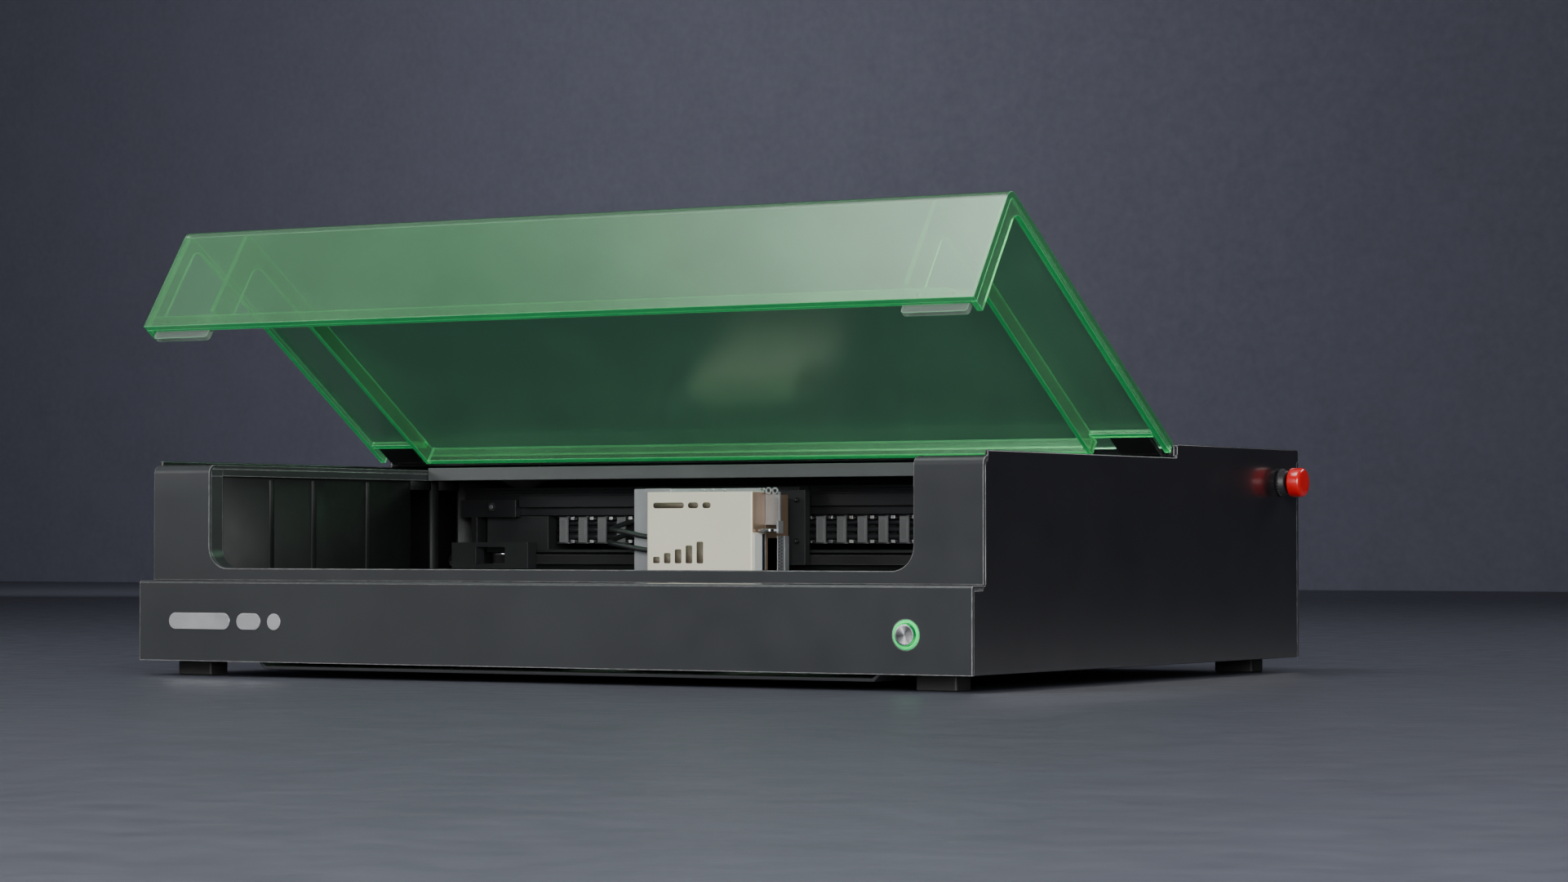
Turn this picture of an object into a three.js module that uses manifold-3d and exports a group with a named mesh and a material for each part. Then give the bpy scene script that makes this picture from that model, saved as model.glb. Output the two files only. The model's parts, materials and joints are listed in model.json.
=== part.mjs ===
// Enclosed desktop laser cutter with a hinged, tinted acrylic lid.
// Millimetres, +Z up, front towards -Y. Inside the machine group x is measured from the
// middle of the body, y from the front of the lower panel and z from the floor; the machine
// group then puts the middle of the whole footprint on the origin.
import * as THREE from 'three';
import { mergeVertices } from 'three/addons/utils/BufferGeometryUtils.js';
import Module from 'manifold-3d';

const wasm = await Module();
wasm.setup();

// ---------------------------------------------------------------- driving dimensions
const WIDTH = 765;
const DEPTH = 561;
const SIDE_TOP = 173;            // top of the side boxes
const DECK_TOP = 183;            // top of the rear deck and of the closed lid
const SHEET = 3;                 // body sheet thickness
const GAP = 0.3;                 // clearance between neighbouring pieces
const FOOT_HEIGHT = 12;
const FRONT_BOX_TOP = 76;        // top of the lower front box
const FRAME_Y = 17;              // the upper front frame is set back this far
const SILL_TOP = 86;             // bottom of the front window
const WINDOW_HALF = 325;         // half width of the front window and of the chamber
const WINDOW_RADIUS = 18;
const DECK_Y = 333;              // front of the rear deck
const RIM_BOTTOM = 160;          // bottom of the rim round the chamber
const LIP_Y = 311;               // front of the cross lip behind the chamber
const LIP_TOP = 171;
const NOSE = 7;                  // height of the bevel along the top of the front posts

const HINGE = { y: 325, z: 177, barrel: 2.7 };
const LID_OPEN_DEG = 34;
const LID_BACK = 322;            // rear edge of the closed lid
const LID_FRONT_BOTTOM = 83;     // lower edge of the closed lid's front
const ACRYLIC = 5;
const RIB_X = 318.5;             // inner face of the lid's inner ribs
const FLANGE = { y: [305.5, 310.5], bottom: 164 };   // the lid's rear flange, ahead of the lip

const BEAM = { y: [345, 375], z: [130, 154], half: 323 };
const PULLEY_RADIUS = 8;
const PULLEY_BORE = 3.1;
const AXLE = 3;
const BELT = 1.1;                // belt thickness
const X_BELT = { y: 345, z: [88.2, 96.2], left: -283, right: 285 };
const X_PULLEY_Z = 87.2;         // bottom of the X pulleys
const Y_BELT = { z: 38, x: [-302, -294], front: 45, rear: 520 };
const TRAY = { half: 302, floor: 98, back: 432 };
const CHAIN = { z: [105.5, 129.5], width: 18, near: 359, far: 415, fixed: -236, moving: -4, bend: 140 };
const GANTRY_BACK = 20;          // the gantry stands this far behind the numbers above and below

const HEAD_X = -20;              // middle of the laser head at rest
const HEAD_FRONT = 250;          // front of the laser head's cover
const COVER_HALF = 51.5;
const LEVER_Z = 116.5;           // axis of the gauge lever

const BUTTON = { x: 328.5, z: 40.6, cap: 7.7, ring: 10.7 };
const ESTOP = { y: 525.5, z: 155.6, cap: 12, collar: 11, stem: 4.5 };
const FAN = { x: -180, z: 95, bore: 47.5, frame: 55 };
const INLET = { x: 250, z: 45 };
const ROCKER = { x: 200, y: 557, z: 45, halfHeight: 9 };
const ESTOP_REACH = 21.5;         // how far the emergency stop stands out of the side
const DUCT_REACH = 28;           // how far the exhaust port stands out of the back

const HALF = WIDTH / 2;
const INNER = HALF - SHEET - GAP;   // pieces inside the side panels end here
const BACK = DEPTH - SHEET;         // inner face of the rear panel
const DEG = Math.PI / 180;

// ---------------------------------------------------------------- solid helpers
function toSolid(geometry) {
  const bare = geometry.clone();
  bare.deleteAttribute('normal');
  bare.deleteAttribute('uv');
  const merged = mergeVertices(bare, 1e-4);
  return new wasm.Manifold(new wasm.Mesh({
    numProp: 3,
    vertProperties: new Float32Array(merged.attributes.position.array),
    triVerts: new Uint32Array(merged.index.array),
  }));
}

function toGeometry(solid) {
  const mesh = solid.getMesh();
  const geometry = new THREE.BufferGeometry();
  geometry.setAttribute('position', new THREE.BufferAttribute(mesh.vertProperties, 3));
  geometry.setIndex(new THREE.BufferAttribute(mesh.triVerts, 1));
  geometry.computeVertexNormals();
  return geometry;
}

function join(...geometries) {
  return toGeometry(geometries.map(toSolid).reduce((sum, piece) => sum.add(piece)));
}

function cut(body, ...tools) {
  return toGeometry(tools.map(toSolid).reduce((rest, tool) => rest.subtract(tool), toSolid(body)));
}

function box([x0, x1], [y0, y1], [z0, z1]) {
  const geometry = new THREE.BoxGeometry(x1 - x0, y1 - y0, z1 - z0);
  return geometry.translate((x0 + x1) / 2, (y0 + y1) / 2, (z0 + z1) / 2);
}

// The same span on the left (side -1) or right (side +1) of the machine.
const sideSpan = (side, a, b) => (side > 0 ? [a, b] : [-b, -a]);
const around = (middle, half) => [middle - half, middle + half];

function outline(points) {
  return new THREE.Shape(points.map(([a, b]) => new THREE.Vector2(a, b)));
}

function extrude(shape, length, curveSegments = 8) {
  return new THREE.ExtrudeGeometry(shape, { depth: length, bevelEnabled: false, curveSegments });
}

// A (y, z) outline drawn out along X.
function alongX(shape, [x0, x1], curveSegments) {
  const turn = new THREE.Matrix4().makeBasis(
    new THREE.Vector3(0, 1, 0), new THREE.Vector3(0, 0, 1), new THREE.Vector3(1, 0, 0));
  return extrude(shape, x1 - x0, curveSegments).applyMatrix4(turn).translate(x0, 0, 0);
}

// An (x, z) outline drawn out along Y.
function alongY(shape, [y0, y1], curveSegments) {
  return extrude(shape, y1 - y0, curveSegments).rotateX(Math.PI / 2).translate(0, y1, 0);
}

// An (x, y) outline drawn out along Z.
function alongZ(shape, [z0, z1], curveSegments) {
  return extrude(shape, z1 - z0, curveSegments).translate(0, 0, z0);
}

function rod(radius, length, sides = 32) {
  return new THREE.CylinderGeometry(radius, radius, length, sides);
}

function rodX(radius, [x0, x1], y, z, sides) {
  return rod(radius, x1 - x0, sides).rotateZ(-Math.PI / 2).translate((x0 + x1) / 2, y, z);
}

function rodY(radius, [y0, y1], x, z, sides) {
  return rod(radius, y1 - y0, sides).translate(x, (y0 + y1) / 2, z);
}

function rodZ(radius, [z0, z1], x, y, sides) {
  return rod(radius, z1 - z0, sides).rotateX(Math.PI / 2).translate(x, y, (z0 + z1) / 2);
}

// Rectangle with rounded corners, drawn about its middle.
function roundedRect(cx, cy, width, height, radius) {
  const shape = new THREE.Shape();
  const [x0, x1] = [cx - width / 2, cx + width / 2];
  const [y0, y1] = [cy - height / 2, cy + height / 2];
  shape.absarc(x1 - radius, y0 + radius, radius, -Math.PI / 2, 0);
  shape.absarc(x1 - radius, y1 - radius, radius, 0, Math.PI / 2);
  shape.absarc(x0 + radius, y1 - radius, radius, Math.PI / 2, Math.PI);
  shape.absarc(x0 + radius, y0 + radius, radius, Math.PI, 1.5 * Math.PI);
  return shape;
}

// ---------------------------------------------------------------- materials
function paint(color, roughness, metalness = 0, opacity = 1) {
  return new THREE.MeshStandardMaterial({
    color, roughness, metalness, opacity, transparent: opacity < 1,
  });
}

const greyCoat = paint('#8b9099', 0.5, 0.25);
const blackGloss = paint('#15161a', 0.18);
const darkCoat = paint('#3c3f42', 0.55, 0.1);
const lipGrey = paint('#7c8084', 0.5, 0.2);
const alloy = paint('#b9bcc0', 0.35, 0.9);
const blackAlloy = paint('#2a2c30', 0.4, 0.6);
const steel = paint('#c9ccd0', 0.25, 1);
const blackPlastic = paint('#141518', 0.5);
const softBlack = paint('#0d0d0e', 0.9);
const tint = paint('#2fd873', 0.05, 0, 0.4);
const clearGrey = paint('#b8c0bc', 0.3, 0, 0.6);
const gold = paint('#eae6d6', 0.4, 0.3);
const brown = paint('#8d7562', 0.45, 0.4);
const glowGreen = paint('#3dff9a', 0.4);
const signalRed = paint('#d01a1c', 0.2);
const boardGreen = paint('#b6bab8', 0.4, 0.8);

// ---------------------------------------------------------------- assembly helpers
const machine = new THREE.Group();
machine.position.set(-ESTOP_REACH / 2, -(DEPTH + DUCT_REACH) / 2, 0);

function place(group, name, geometry, material) {
  const mesh = new THREE.Mesh(geometry, material);
  mesh.name = name;
  group.add(mesh);
}

const bothSides = (build) => [[-1, 'left'], [1, 'right']].forEach(([side, word]) => build(side, word));

// ---------------------------------------------------------------- enclosure
const BELLY = { bottom: 6.5, from: -257, to: 300, slope: 6, sheet: 2.5 };

// Folded floor pan whose middle hangs lower than its edges.
function basePan() {
  const { bottom, from, to, slope, sheet } = BELLY;
  const top = FOOT_HEIGHT + sheet;
  const shape = outline([
    [-INNER, FOOT_HEIGHT], [from - slope, FOOT_HEIGHT], [from, bottom], [to, bottom],
    [to + slope, FOOT_HEIGHT], [INNER, FOOT_HEIGHT], [INNER, top], [to + slope - 1, top],
    [to - 1, bottom + sheet], [from + 1, bottom + sheet], [from - slope + 1, top], [-INNER, top],
  ]);
  return alongY(shape, [SHEET + GAP, BACK - GAP]);
}

// Lower front face with its turned-back top shelf and the hole of the power button.
function frontLowerPanel() {
  const lip = FRAME_Y - GAP;
  const shelf = FRONT_BOX_TOP - SHEET;
  const shape = outline([
    [0, FOOT_HEIGHT], [SHEET, FOOT_HEIGHT], [SHEET, shelf], [lip, shelf],
    [lip, FRONT_BOX_TOP], [1.5, FRONT_BOX_TOP], [0, FRONT_BOX_TOP - 1.5],
  ]);
  const hole = rodY(BUTTON.ring + GAP, [-2, SHEET + 2], BUTTON.x, BUTTON.z);
  return cut(alongX(shape, [-HALF, HALF]), hole);
}

// What the bevel takes off the front top edge of the posts and the side boxes.
function noseWedge() {
  const start = FRAME_Y - 1;
  const low = SIDE_TOP - NOSE - 1;
  const wedge = outline([[start, low], [start + NOSE + 2, low + NOSE + 2], [start, low + NOSE + 2]]);
  return alongX(wedge, [-HALF - 1, HALF + 1]);
}

// U-shaped upper front: two posts and a sill round the window.
function frontFrame() {
  const bottom = FRONT_BOX_TOP + GAP;
  const r = WINDOW_RADIUS;
  const shape = new THREE.Shape();
  shape.moveTo(-HALF, bottom);
  shape.lineTo(HALF, bottom);
  shape.lineTo(HALF, SIDE_TOP - 3);
  shape.lineTo(HALF - 3, SIDE_TOP);
  shape.lineTo(WINDOW_HALF, SIDE_TOP);
  shape.absarc(WINDOW_HALF - r, SILL_TOP + r, r, 0, -Math.PI / 2, true);
  shape.absarc(-WINDOW_HALF + r, SILL_TOP + r, r, -Math.PI / 2, -Math.PI, true);
  shape.lineTo(-WINDOW_HALF, SIDE_TOP);
  shape.lineTo(-HALF + 3, SIDE_TOP);
  shape.lineTo(-HALF, SIDE_TOP - 3);
  return cut(alongY(shape, [FRAME_Y, FRAME_Y + SHEET]), noseWedge());
}

function sidePanel(side) {
  const top = SIDE_TOP - GAP;
  const front = SHEET + GAP;
  const behindFrame = FRAME_Y + SHEET + GAP;
  const shelf = FRONT_BOX_TOP - SHEET - GAP;
  const shape = outline([
    [front, FOOT_HEIGHT], [BACK - GAP, FOOT_HEIGHT], [BACK - GAP, top], [behindFrame, top],
    [behindFrame, FRONT_BOX_TOP], [FRAME_Y, FRONT_BOX_TOP], [FRAME_Y, shelf], [front, shelf],
  ]);
  return cut(alongX(shape, sideSpan(side, HALF - SHEET, HALF)), noseWedge());
}

// Rear panel with the exhaust hole, the mains inlet hole and the rocker switch hole.
function rearPanel() {
  const plate = box([-HALF, HALF], [BACK, DEPTH], [FOOT_HEIGHT, SIDE_TOP - GAP]);
  const through = [BACK - 2, DEPTH + 2];
  const exhaust = rodY(FAN.bore + 2.5, through, FAN.x, FAN.z, 48);
  const inlet = box(around(INLET.x, 15.5), through, around(INLET.z, 12.5));
  const rocker = box(around(ROCKER.x, 7), through, around(ROCKER.z, ROCKER.halfHeight + 4));
  const vents = Array.from({ length: 9 }, (_, i) =>
    box(around(-20 + i * 14, 2.5), through, [80, 125]));
  return cut(plate, exhaust, inlet, rocker, ...vents);
}

// Shallow cap over the rear bay, open underneath.
function rearDeck() {
  const chamfer = 1.5;
  const shape = outline([
    [DECK_Y, SIDE_TOP], [DEPTH, SIDE_TOP], [DEPTH, DECK_TOP - chamfer],
    [DEPTH - chamfer, DECK_TOP], [DECK_Y + chamfer, DECK_TOP], [DECK_Y, DECK_TOP - chamfer],
  ]);
  const hollow = box([-HALF + SHEET, HALF - SHEET], [DECK_Y + SHEET, BACK], [SIDE_TOP - 1, DECK_TOP - SHEET]);
  return cut(alongX(shape, [-HALF, HALF]), hollow);
}

// Light grey cross lip behind the chamber, with the shelf that runs back under the deck.
function rearLip() {
  const shape = outline([
    [LIP_Y, RIM_BOTTOM], [LIP_Y + SHEET, RIM_BOTTOM], [LIP_Y + SHEET, LIP_TOP - SHEET],
    [DECK_Y - GAP, LIP_TOP - SHEET], [DECK_Y - GAP, LIP_TOP], [LIP_Y, LIP_TOP],
  ]);
  return alongX(shape, [-WINDOW_HALF + GAP, WINDOW_HALF - GAP]);
}

// Chamber wall with two tall windows by the gantry's park position and shallow ribs.
function innerWall(side) {
  const [y0, y1] = [FRAME_Y + SHEET + GAP, BACK - GAP];
  const wall = box(sideSpan(side, 328, 330.5), [y0, y1], [FOOT_HEIGHT + BELLY.sheet + GAP, 169]);
  const slots = [[290, 320], [331, 361]].map((span) => box(sideSpan(side, 326, 333), span, [84, 152]));
  const open = cut(wall, ...slots);
  const ribs = [99.5, 155.5, 229.5].map((y) => box(sideSpan(side, 327, 328.5), around(y, 3), [84, 158]));
  const axle = side < 0 ? [rodX(AXLE, [-329, Y_BELT.x[1] + 1], Y_BELT.front, Y_BELT.z, 24)] : [];
  return join(open, ...ribs, ...axle);
}

// Top of a side box, turned down along the chamber.
function topCover(side) {
  const [inner, skin] = [WINDOW_HALF, 2.5];
  const points = [
    [inner, RIM_BOTTOM], [inner + skin, RIM_BOTTOM], [inner + skin, SIDE_TOP - SHEET],
    [INNER, SIDE_TOP - SHEET], [INNER, SIDE_TOP], [inner, SIDE_TOP],
  ].map(([x, z]) => [side * x, z]);
  const cover = outline(side > 0 ? points : points.reverse());
  return cut(alongY(cover, [FRAME_Y + SHEET + GAP, DECK_Y - GAP]), noseWedge());
}

const foot = (x, y) => alongZ(roundedRect(x, y, 34, 22, 2), [0, FOOT_HEIGHT], 4);

// Slatted support bed: a frame with bars that taper to a narrow top.
function workBed() {
  const [x0, x1, y0, y1] = [-288, 288, 35, 375];
  const [z0, z1] = [FOOT_HEIGHT + BELLY.sheet + GAP, 24];
  const rail = 12;
  const frame = cut(
    box([x0, x1], [y0, y1], [z0, z1]),
    box([x0 + rail, x1 - rail], [y0 + rail, y1 - rail], [z0 - 1, z1 + 1]));
  const bars = Array.from({ length: 21 }, (_, i) => {
    const x = x0 + 24 + i * 26.4;
    const bar = outline([[x - 2, z0], [x + 2, z0], [x + 0.8, z1 - 0.5], [x - 0.8, z1 - 0.5]]);
    return alongY(bar, [y0 + rail - 1, y1 - rail + 1]);
  });
  return join(frame, ...bars);
}

const yRail = (side) => box(sideSpan(side, 318, 327.7), [30, 522], [62, 74]);

function yMotor() {
  const body = box([-291, -249], around(Y_BELT.rear, 20), around(Y_BELT.z, 20));
  return cut(body, rodX(AXLE, [-292, -270], Y_BELT.rear, Y_BELT.z, 24));
}

// Closed belt round two pulleys, drawn as a stadium with a stadium hole.
function beltLoop(a, b, across) {
  const shape = new THREE.Shape();
  const hole = new THREE.Path();
  const inner = PULLEY_RADIUS + 0.1;
  [[shape, inner + BELT], [hole, inner]].forEach(([path, r]) => {
    path.absarc(b, across, r, -Math.PI / 2, Math.PI / 2);
    path.absarc(a, across, r, Math.PI / 2, 1.5 * Math.PI);
  });
  shape.holes.push(hole);
  return shape;
}

const yBelt = () => alongX(beltLoop(Y_BELT.front, Y_BELT.rear, Y_BELT.z), [Y_BELT.x[0] + 1, Y_BELT.x[1] - 1]);

// Fan frame inside the back, its motor spider and the round port outside.
function exhaustDuct() {
  const { x, z, bore, frame } = FAN;
  const [front, seat] = [530, BACK - GAP];
  const shell = join(
    box(around(x, frame), [front, seat], around(z, frame)),
    rodY(bore + 2.2, [seat - 1, DEPTH + DUCT_REACH], x, z, 48),
    rodY(bore + 7, [DEPTH + GAP, DEPTH + 4], x, z, 48));
  const tunnel = rodY(bore, [front - 1, DEPTH + DUCT_REACH + 1], x, z, 48);
  const arms = [0, 60, 120].map((angle) =>
    new THREE.BoxGeometry(2 * bore + 2, 3, 7).rotateY(angle * DEG).translate(x, front + 2.5, z));
  return join(cut(shell, tunnel), rodY(17, [front + 1, front + 6], x, z, 32), ...arms);
}

const powerSupply = () => box([10, 180], [494, 552], [FOOT_HEIGHT + BELLY.sheet + GAP, 64]);

// Mains socket: a recess with three flat contacts.
function powerInlet() {
  const { x, z } = INLET;
  const shell = join(
    box(around(x, 15), [540, DEPTH + 1], around(z, 12)),
    box(around(x, 19), [DEPTH + GAP, DEPTH + 2.5], around(z, 15)));
  const recess = box(around(x, 12), [545, DEPTH + 4], around(z, 8));
  const pins = [[-7, -3], [0, 3], [7, -3]].map(([dx, dz]) =>
    box(around(x + dx, 1), [544, 552], around(z + dz, 2.2)));
  return join(cut(shell, recess), ...pins);
}

function buttonRing() {
  const ring = rodY(BUTTON.ring, [-1.2, 9], BUTTON.x, BUTTON.z, 40);
  return cut(ring, rodY(BUTTON.cap + GAP, [-2, 7.5], BUTTON.x, BUTTON.z, 40));
}

function estopCollar() {
  const collar = rodX(ESTOP.collar, [HALF + GAP, HALF + 6.8], ESTOP.y, ESTOP.z, 36);
  return cut(collar, rodX(ESTOP.stem + GAP, [HALF + 1.5, HALF + 8], ESTOP.y, ESTOP.z, 24));
}

// Fixed half of a hinge: a foot on the side box with one long knuckle.
function hingeBracket(side) {
  const knuckle = sideSpan(side, 346, 364);
  return join(
    box(sideSpan(side, 340, 370), [328.2, DECK_Y - GAP], [SIDE_TOP + 0.2, 176]),
    box(knuckle, [HINGE.y, 329], [174.5, 177]),
    rodX(HINGE.barrel, knuckle, HINGE.y, HINGE.z, 20));
}

function buildEnclosure() {
  place(machine, 'base_pan', basePan(), blackAlloy);
  place(machine, 'front_lower_panel', frontLowerPanel(), greyCoat);
  place(machine, 'front_frame', frontFrame(), greyCoat);
  place(machine, 'rear_panel', rearPanel(), blackGloss);
  place(machine, 'rear_deck', rearDeck(), blackGloss);
  place(machine, 'rear_lip', rearLip(), lipGrey);
  bothSides((side, word) => {
    place(machine, `side_panel_${word}`, sidePanel(side), blackGloss);
    place(machine, `inner_wall_${word}`, innerWall(side), darkCoat);
    place(machine, `top_cover_${word}`, topCover(side), greyCoat);
    place(machine, `y_rail_${word}`, yRail(side), steel);
    place(machine, `hinge_bracket_${word}`, hingeBracket(side), blackAlloy);
    place(machine, `foot_front_${word}`, foot(side * 342, 31), softBlack);
    place(machine, `foot_rear_${word}`, foot(side * 342, 531), softBlack);
  });
  place(machine, 'work_bed', workBed(), alloy);
  place(machine, 'y_motor', yMotor(), blackAlloy);
  place(machine, 'y_belt', yBelt(), softBlack);
  place(machine, 'exhaust_duct', exhaustDuct(), blackPlastic);
  place(machine, 'power_supply', powerSupply(), boardGreen);
  place(machine, 'power_inlet', powerInlet(), blackPlastic);
  place(machine, 'button_ring', buttonRing(), glowGreen);
  place(machine, 'estop_collar', estopCollar(), blackPlastic);
}

// ---------------------------------------------------------------- lid, drawn closed
// An L that follows the lid's front and top inside: its front leg reaches in to `front` and
// down to `bottom`, its top leg reaches down to `top` and back to `back`.
function lidL(front, bottom, top, radius, back) {
  const [face, under] = [ACRYLIC + GAP, DECK_TOP - ACRYLIC - GAP];
  const corner = 4;
  const shape = new THREE.Shape();
  shape.moveTo(face, bottom);
  shape.lineTo(front, bottom);
  shape.absarc(front + radius, top - radius, radius, Math.PI, Math.PI / 2, true);
  shape.lineTo(back, top);
  shape.lineTo(back, under);
  shape.absarc(face + corner, under - corner, corner, Math.PI / 2, Math.PI);
  return shape;
}

// One bent acrylic sheet, with a stiffening strip glued along the bottom of its front.
function lidShell() {
  const [outer, inner] = [9, 4];
  const shape = new THREE.Shape();
  shape.moveTo(0, LID_FRONT_BOTTOM);
  shape.lineTo(ACRYLIC, LID_FRONT_BOTTOM);
  shape.absarc(ACRYLIC + inner, DECK_TOP - ACRYLIC - inner, inner, Math.PI, Math.PI / 2, true);
  shape.lineTo(LID_BACK, DECK_TOP - ACRYLIC);
  shape.lineTo(LID_BACK, DECK_TOP);
  shape.absarc(outer, DECK_TOP - outer, outer, Math.PI / 2, Math.PI);
  const strip = box([-314, 314], [ACRYLIC - 1, ACRYLIC + 6], [LID_FRONT_BOTTOM, LID_FRONT_BOTTOM + 12]);
  return join(alongX(shape, [-HALF, HALF]), strip);
}

const lidCheek = (side) =>
  alongX(lidL(FRAME_Y - GAP, LID_FRONT_BOTTOM, 173.5, 9, LID_BACK - GAP), sideSpan(side, HALF - ACRYLIC, HALF));

// Two inner ribs joined by the rear flange.
function lidRibFrame() {
  const outer = RIB_X + 4;
  const under = DECK_TOP - ACRYLIC - GAP;
  const legs = lidL(28, 99, FLANGE.bottom, 11, FLANGE.y[1]);
  const pieces = [
    box([-outer, outer], FLANGE.y, [FLANGE.bottom, under]),
    box([-376.5, 376.5], [FLANGE.y[0] - 10, FLANGE.y[0] - 5], [173.5, under]),
  ];
  bothSides((side) => pieces.push(alongX(legs, sideSpan(side, RIB_X, outer))));
  return join(...pieces);
}

const lidPad = (side) => box(sideSpan(side, 320, 375), [ACRYLIC + GAP, 13], [77, 96]);

// Moving half of a hinge: a plate under the lid with a knuckle at each end.
function hingeLeaf(side) {
  const ends = [sideSpan(side, 338, 345.6), sideSpan(side, 364.4, 372)];
  const under = DECK_TOP - ACRYLIC - GAP;
  return join(
    box(sideSpan(side, 338, 372), [301, 321.5], [174, under]),
    ...ends.map((span) => box(span, [321, HINGE.y], [175, under])),
    ...ends.map((span) => rodX(HINGE.barrel, span, HINGE.y, HINGE.z, 20)));
}

function buildLid() {
  const hinge = new THREE.Group();
  hinge.position.set(0, HINGE.y, HINGE.z);
  hinge.rotation.x = -LID_OPEN_DEG * DEG;
  const lid = new THREE.Group();
  lid.position.set(0, -HINGE.y, -HINGE.z);
  hinge.add(lid);
  machine.add(hinge);
  place(lid, 'lid_shell', lidShell(), tint);
  place(lid, 'lid_rib_frame', lidRibFrame(), tint);
  bothSides((side, word) => {
    place(lid, `lid_cheek_${word}`, lidCheek(side), tint);
    place(lid, `lid_pad_${word}`, lidPad(side), clearGrey);
    place(lid, `hinge_leaf_${word}`, hingeLeaf(side), blackAlloy);
  });
}

// ---------------------------------------------------------------- gantry
// Hollow aluminium beam with a groove and a guide rail along its front.
function xBeam() {
  const [[y0, y1], [z0, z1]] = [BEAM.y, BEAM.z];
  const shape = outline([
    [y0, z0], [y1, z0], [y1, z1], [y0, z1], [y0, z1 - 2], [y0 + 2, z1 - 2], [y0 + 2, z1 - 5],
    [y0, z1 - 5], [y0, z1 - 7], [y0 - 5, z1 - 7], [y0 - 5, z0 + 7], [y0, z0 + 7],
  ]);
  const bore = outline([[y0 + 5, z0 + 3], [y1 - 3, z0 + 3], [y1 - 3, z1 - 3], [y0 + 5, z1 - 3]]);
  const beam = alongX(shape, [-BEAM.half, BEAM.half]);
  const ends = [[-330, -263], [293, 330]].map((span) => box(span, [y0 - 8, y0], [z0 - 1, z1 - 6]));
  return cut(beam, alongX(bore, [-BEAM.half - 1, BEAM.half + 1]), ...ends);
}

// End plate of the gantry with its runner on the Y rail and the block that holds the beam;
// the left one also grips the Y belt.
function gantryEnd(side) {
  const plate = box(sideSpan(side, 305, 311), [336, 390], [48, BEAM.z[0] - GAP]);
  const runner = box(sideSpan(side, 310, 317.7), [340, 386], [58, 78]);
  const block = box(sideSpan(side, side < 0 ? 264 : 294, 322), [336, BEAM.y[0] - GAP], [128.5, 143.5]);
  const clamp = side < 0 ? [box([-306, -296], [352, 374], [48.6, 54])] : [];
  return join(plate, runner, block, ...clamp);
}

// C-shaped channel behind and below the beam that the cable chain lies in, with a cover
// over its fixed end and a skirt that hangs behind the belt.
function chainTray() {
  const sheet = 2.5;
  const { half, floor, back } = TRAY;
  const top = BEAM.z[1];
  const channel = alongX(outline([
    [346, floor], [back, floor], [back, top], [BEAM.y[1] + GAP, top], [BEAM.y[1] + GAP, top - sheet],
    [back - sheet, top - sheet], [back - sheet, floor + sheet], [346, floor + sheet],
  ]), [-half, half]);
  const cover = box([-half + 1, CHAIN.fixed - GAP], [346, back - 1], [floor + 1, 129.5]);
  const skirt = box([-half, 262], [356, 358.5], [60, floor + 1]);
  return join(channel, cover, skirt);
}

// Belt tensioner: a slotted block in front of the idler, with the idler's axle.
function tensionerBlock() {
  const block = cut(
    box([-322, -241], [322, 334.7], [84, 106.7]),
    box([-296, -265.5], [320, 336], [88.3, 102.8]));
  const shelf = box([-297, -270], [334, 356], [84, 86.5]);
  return join(block, shelf, rodZ(AXLE, [86, TRAY.floor - 0.5], X_BELT.left, X_BELT.y, 24));
}

function xMotor() {
  const body = box([266, 304.6], around(X_BELT.y, 19), [50, 86]);
  return cut(body, rodZ(AXLE, [70, 87], X_BELT.right, X_BELT.y, 24));
}

const xBelt = () => alongZ(beltLoop(X_BELT.left, X_BELT.right, X_BELT.y), X_BELT.z);

// Cable chain on edge: a fixed run in front, a half-turn and the run to the carriage behind.
function xDragChain() {
  const { z, width, near, far, fixed, moving, bend } = CHAIN;
  const middle = (near + far) / 2;
  const radius = (far - near) / 2;
  const [inner, outer] = [radius - width / 2, radius + width / 2];
  const shape = new THREE.Shape();
  shape.moveTo(fixed, middle - inner);
  shape.absarc(bend, middle, inner, -Math.PI / 2, Math.PI / 2);
  shape.lineTo(moving, middle + inner);
  shape.lineTo(moving, middle + outer);
  shape.absarc(bend, middle, outer, Math.PI / 2, -Math.PI / 2, true);
  shape.lineTo(fixed, middle - outer);
  return alongZ(shape, z, 12);
}

// Toothed pulley with flanges about +Z; a shaft stub below it when `stub` is given.
function pulley(stub) {
  const flange = (z) => rodZ(PULLEY_RADIUS, [z, z + 0.8], 0, 0, 28);
  const body = join(rodZ(PULLEY_RADIUS - 0.6, [0.4, 9.6], 0, 0, 28), flange(0), flange(9.2));
  return stub ? join(body, rodZ(AXLE - 0.3, [-stub, 1], 0, 0, 20)) : cut(body, rodZ(PULLEY_BORE, [-1, 11], 0, 0, 24));
}

function buildGantry(gantry) {
  place(gantry, 'x_beam', xBeam(), blackAlloy);
  bothSides((side, word) => place(gantry, `gantry_end_${word}`, gantryEnd(side), blackAlloy));
  place(gantry, 'chain_tray', chainTray(), darkCoat);
  place(gantry, 'tensioner_block', tensionerBlock(), lipGrey);
  place(gantry, 'x_motor', xMotor(), blackAlloy);
  place(gantry, 'x_belt', xBelt(), softBlack);
  place(gantry, 'x_drag_chain', xDragChain(), blackPlastic);
  place(gantry, 'x_idler_pulley', pulley(0).translate(X_BELT.left, X_BELT.y, X_PULLEY_Z), alloy);
  place(gantry, 'x_drive_pulley', pulley(12).translate(X_BELT.right, X_BELT.y, X_PULLEY_Z), alloy);
}

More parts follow.
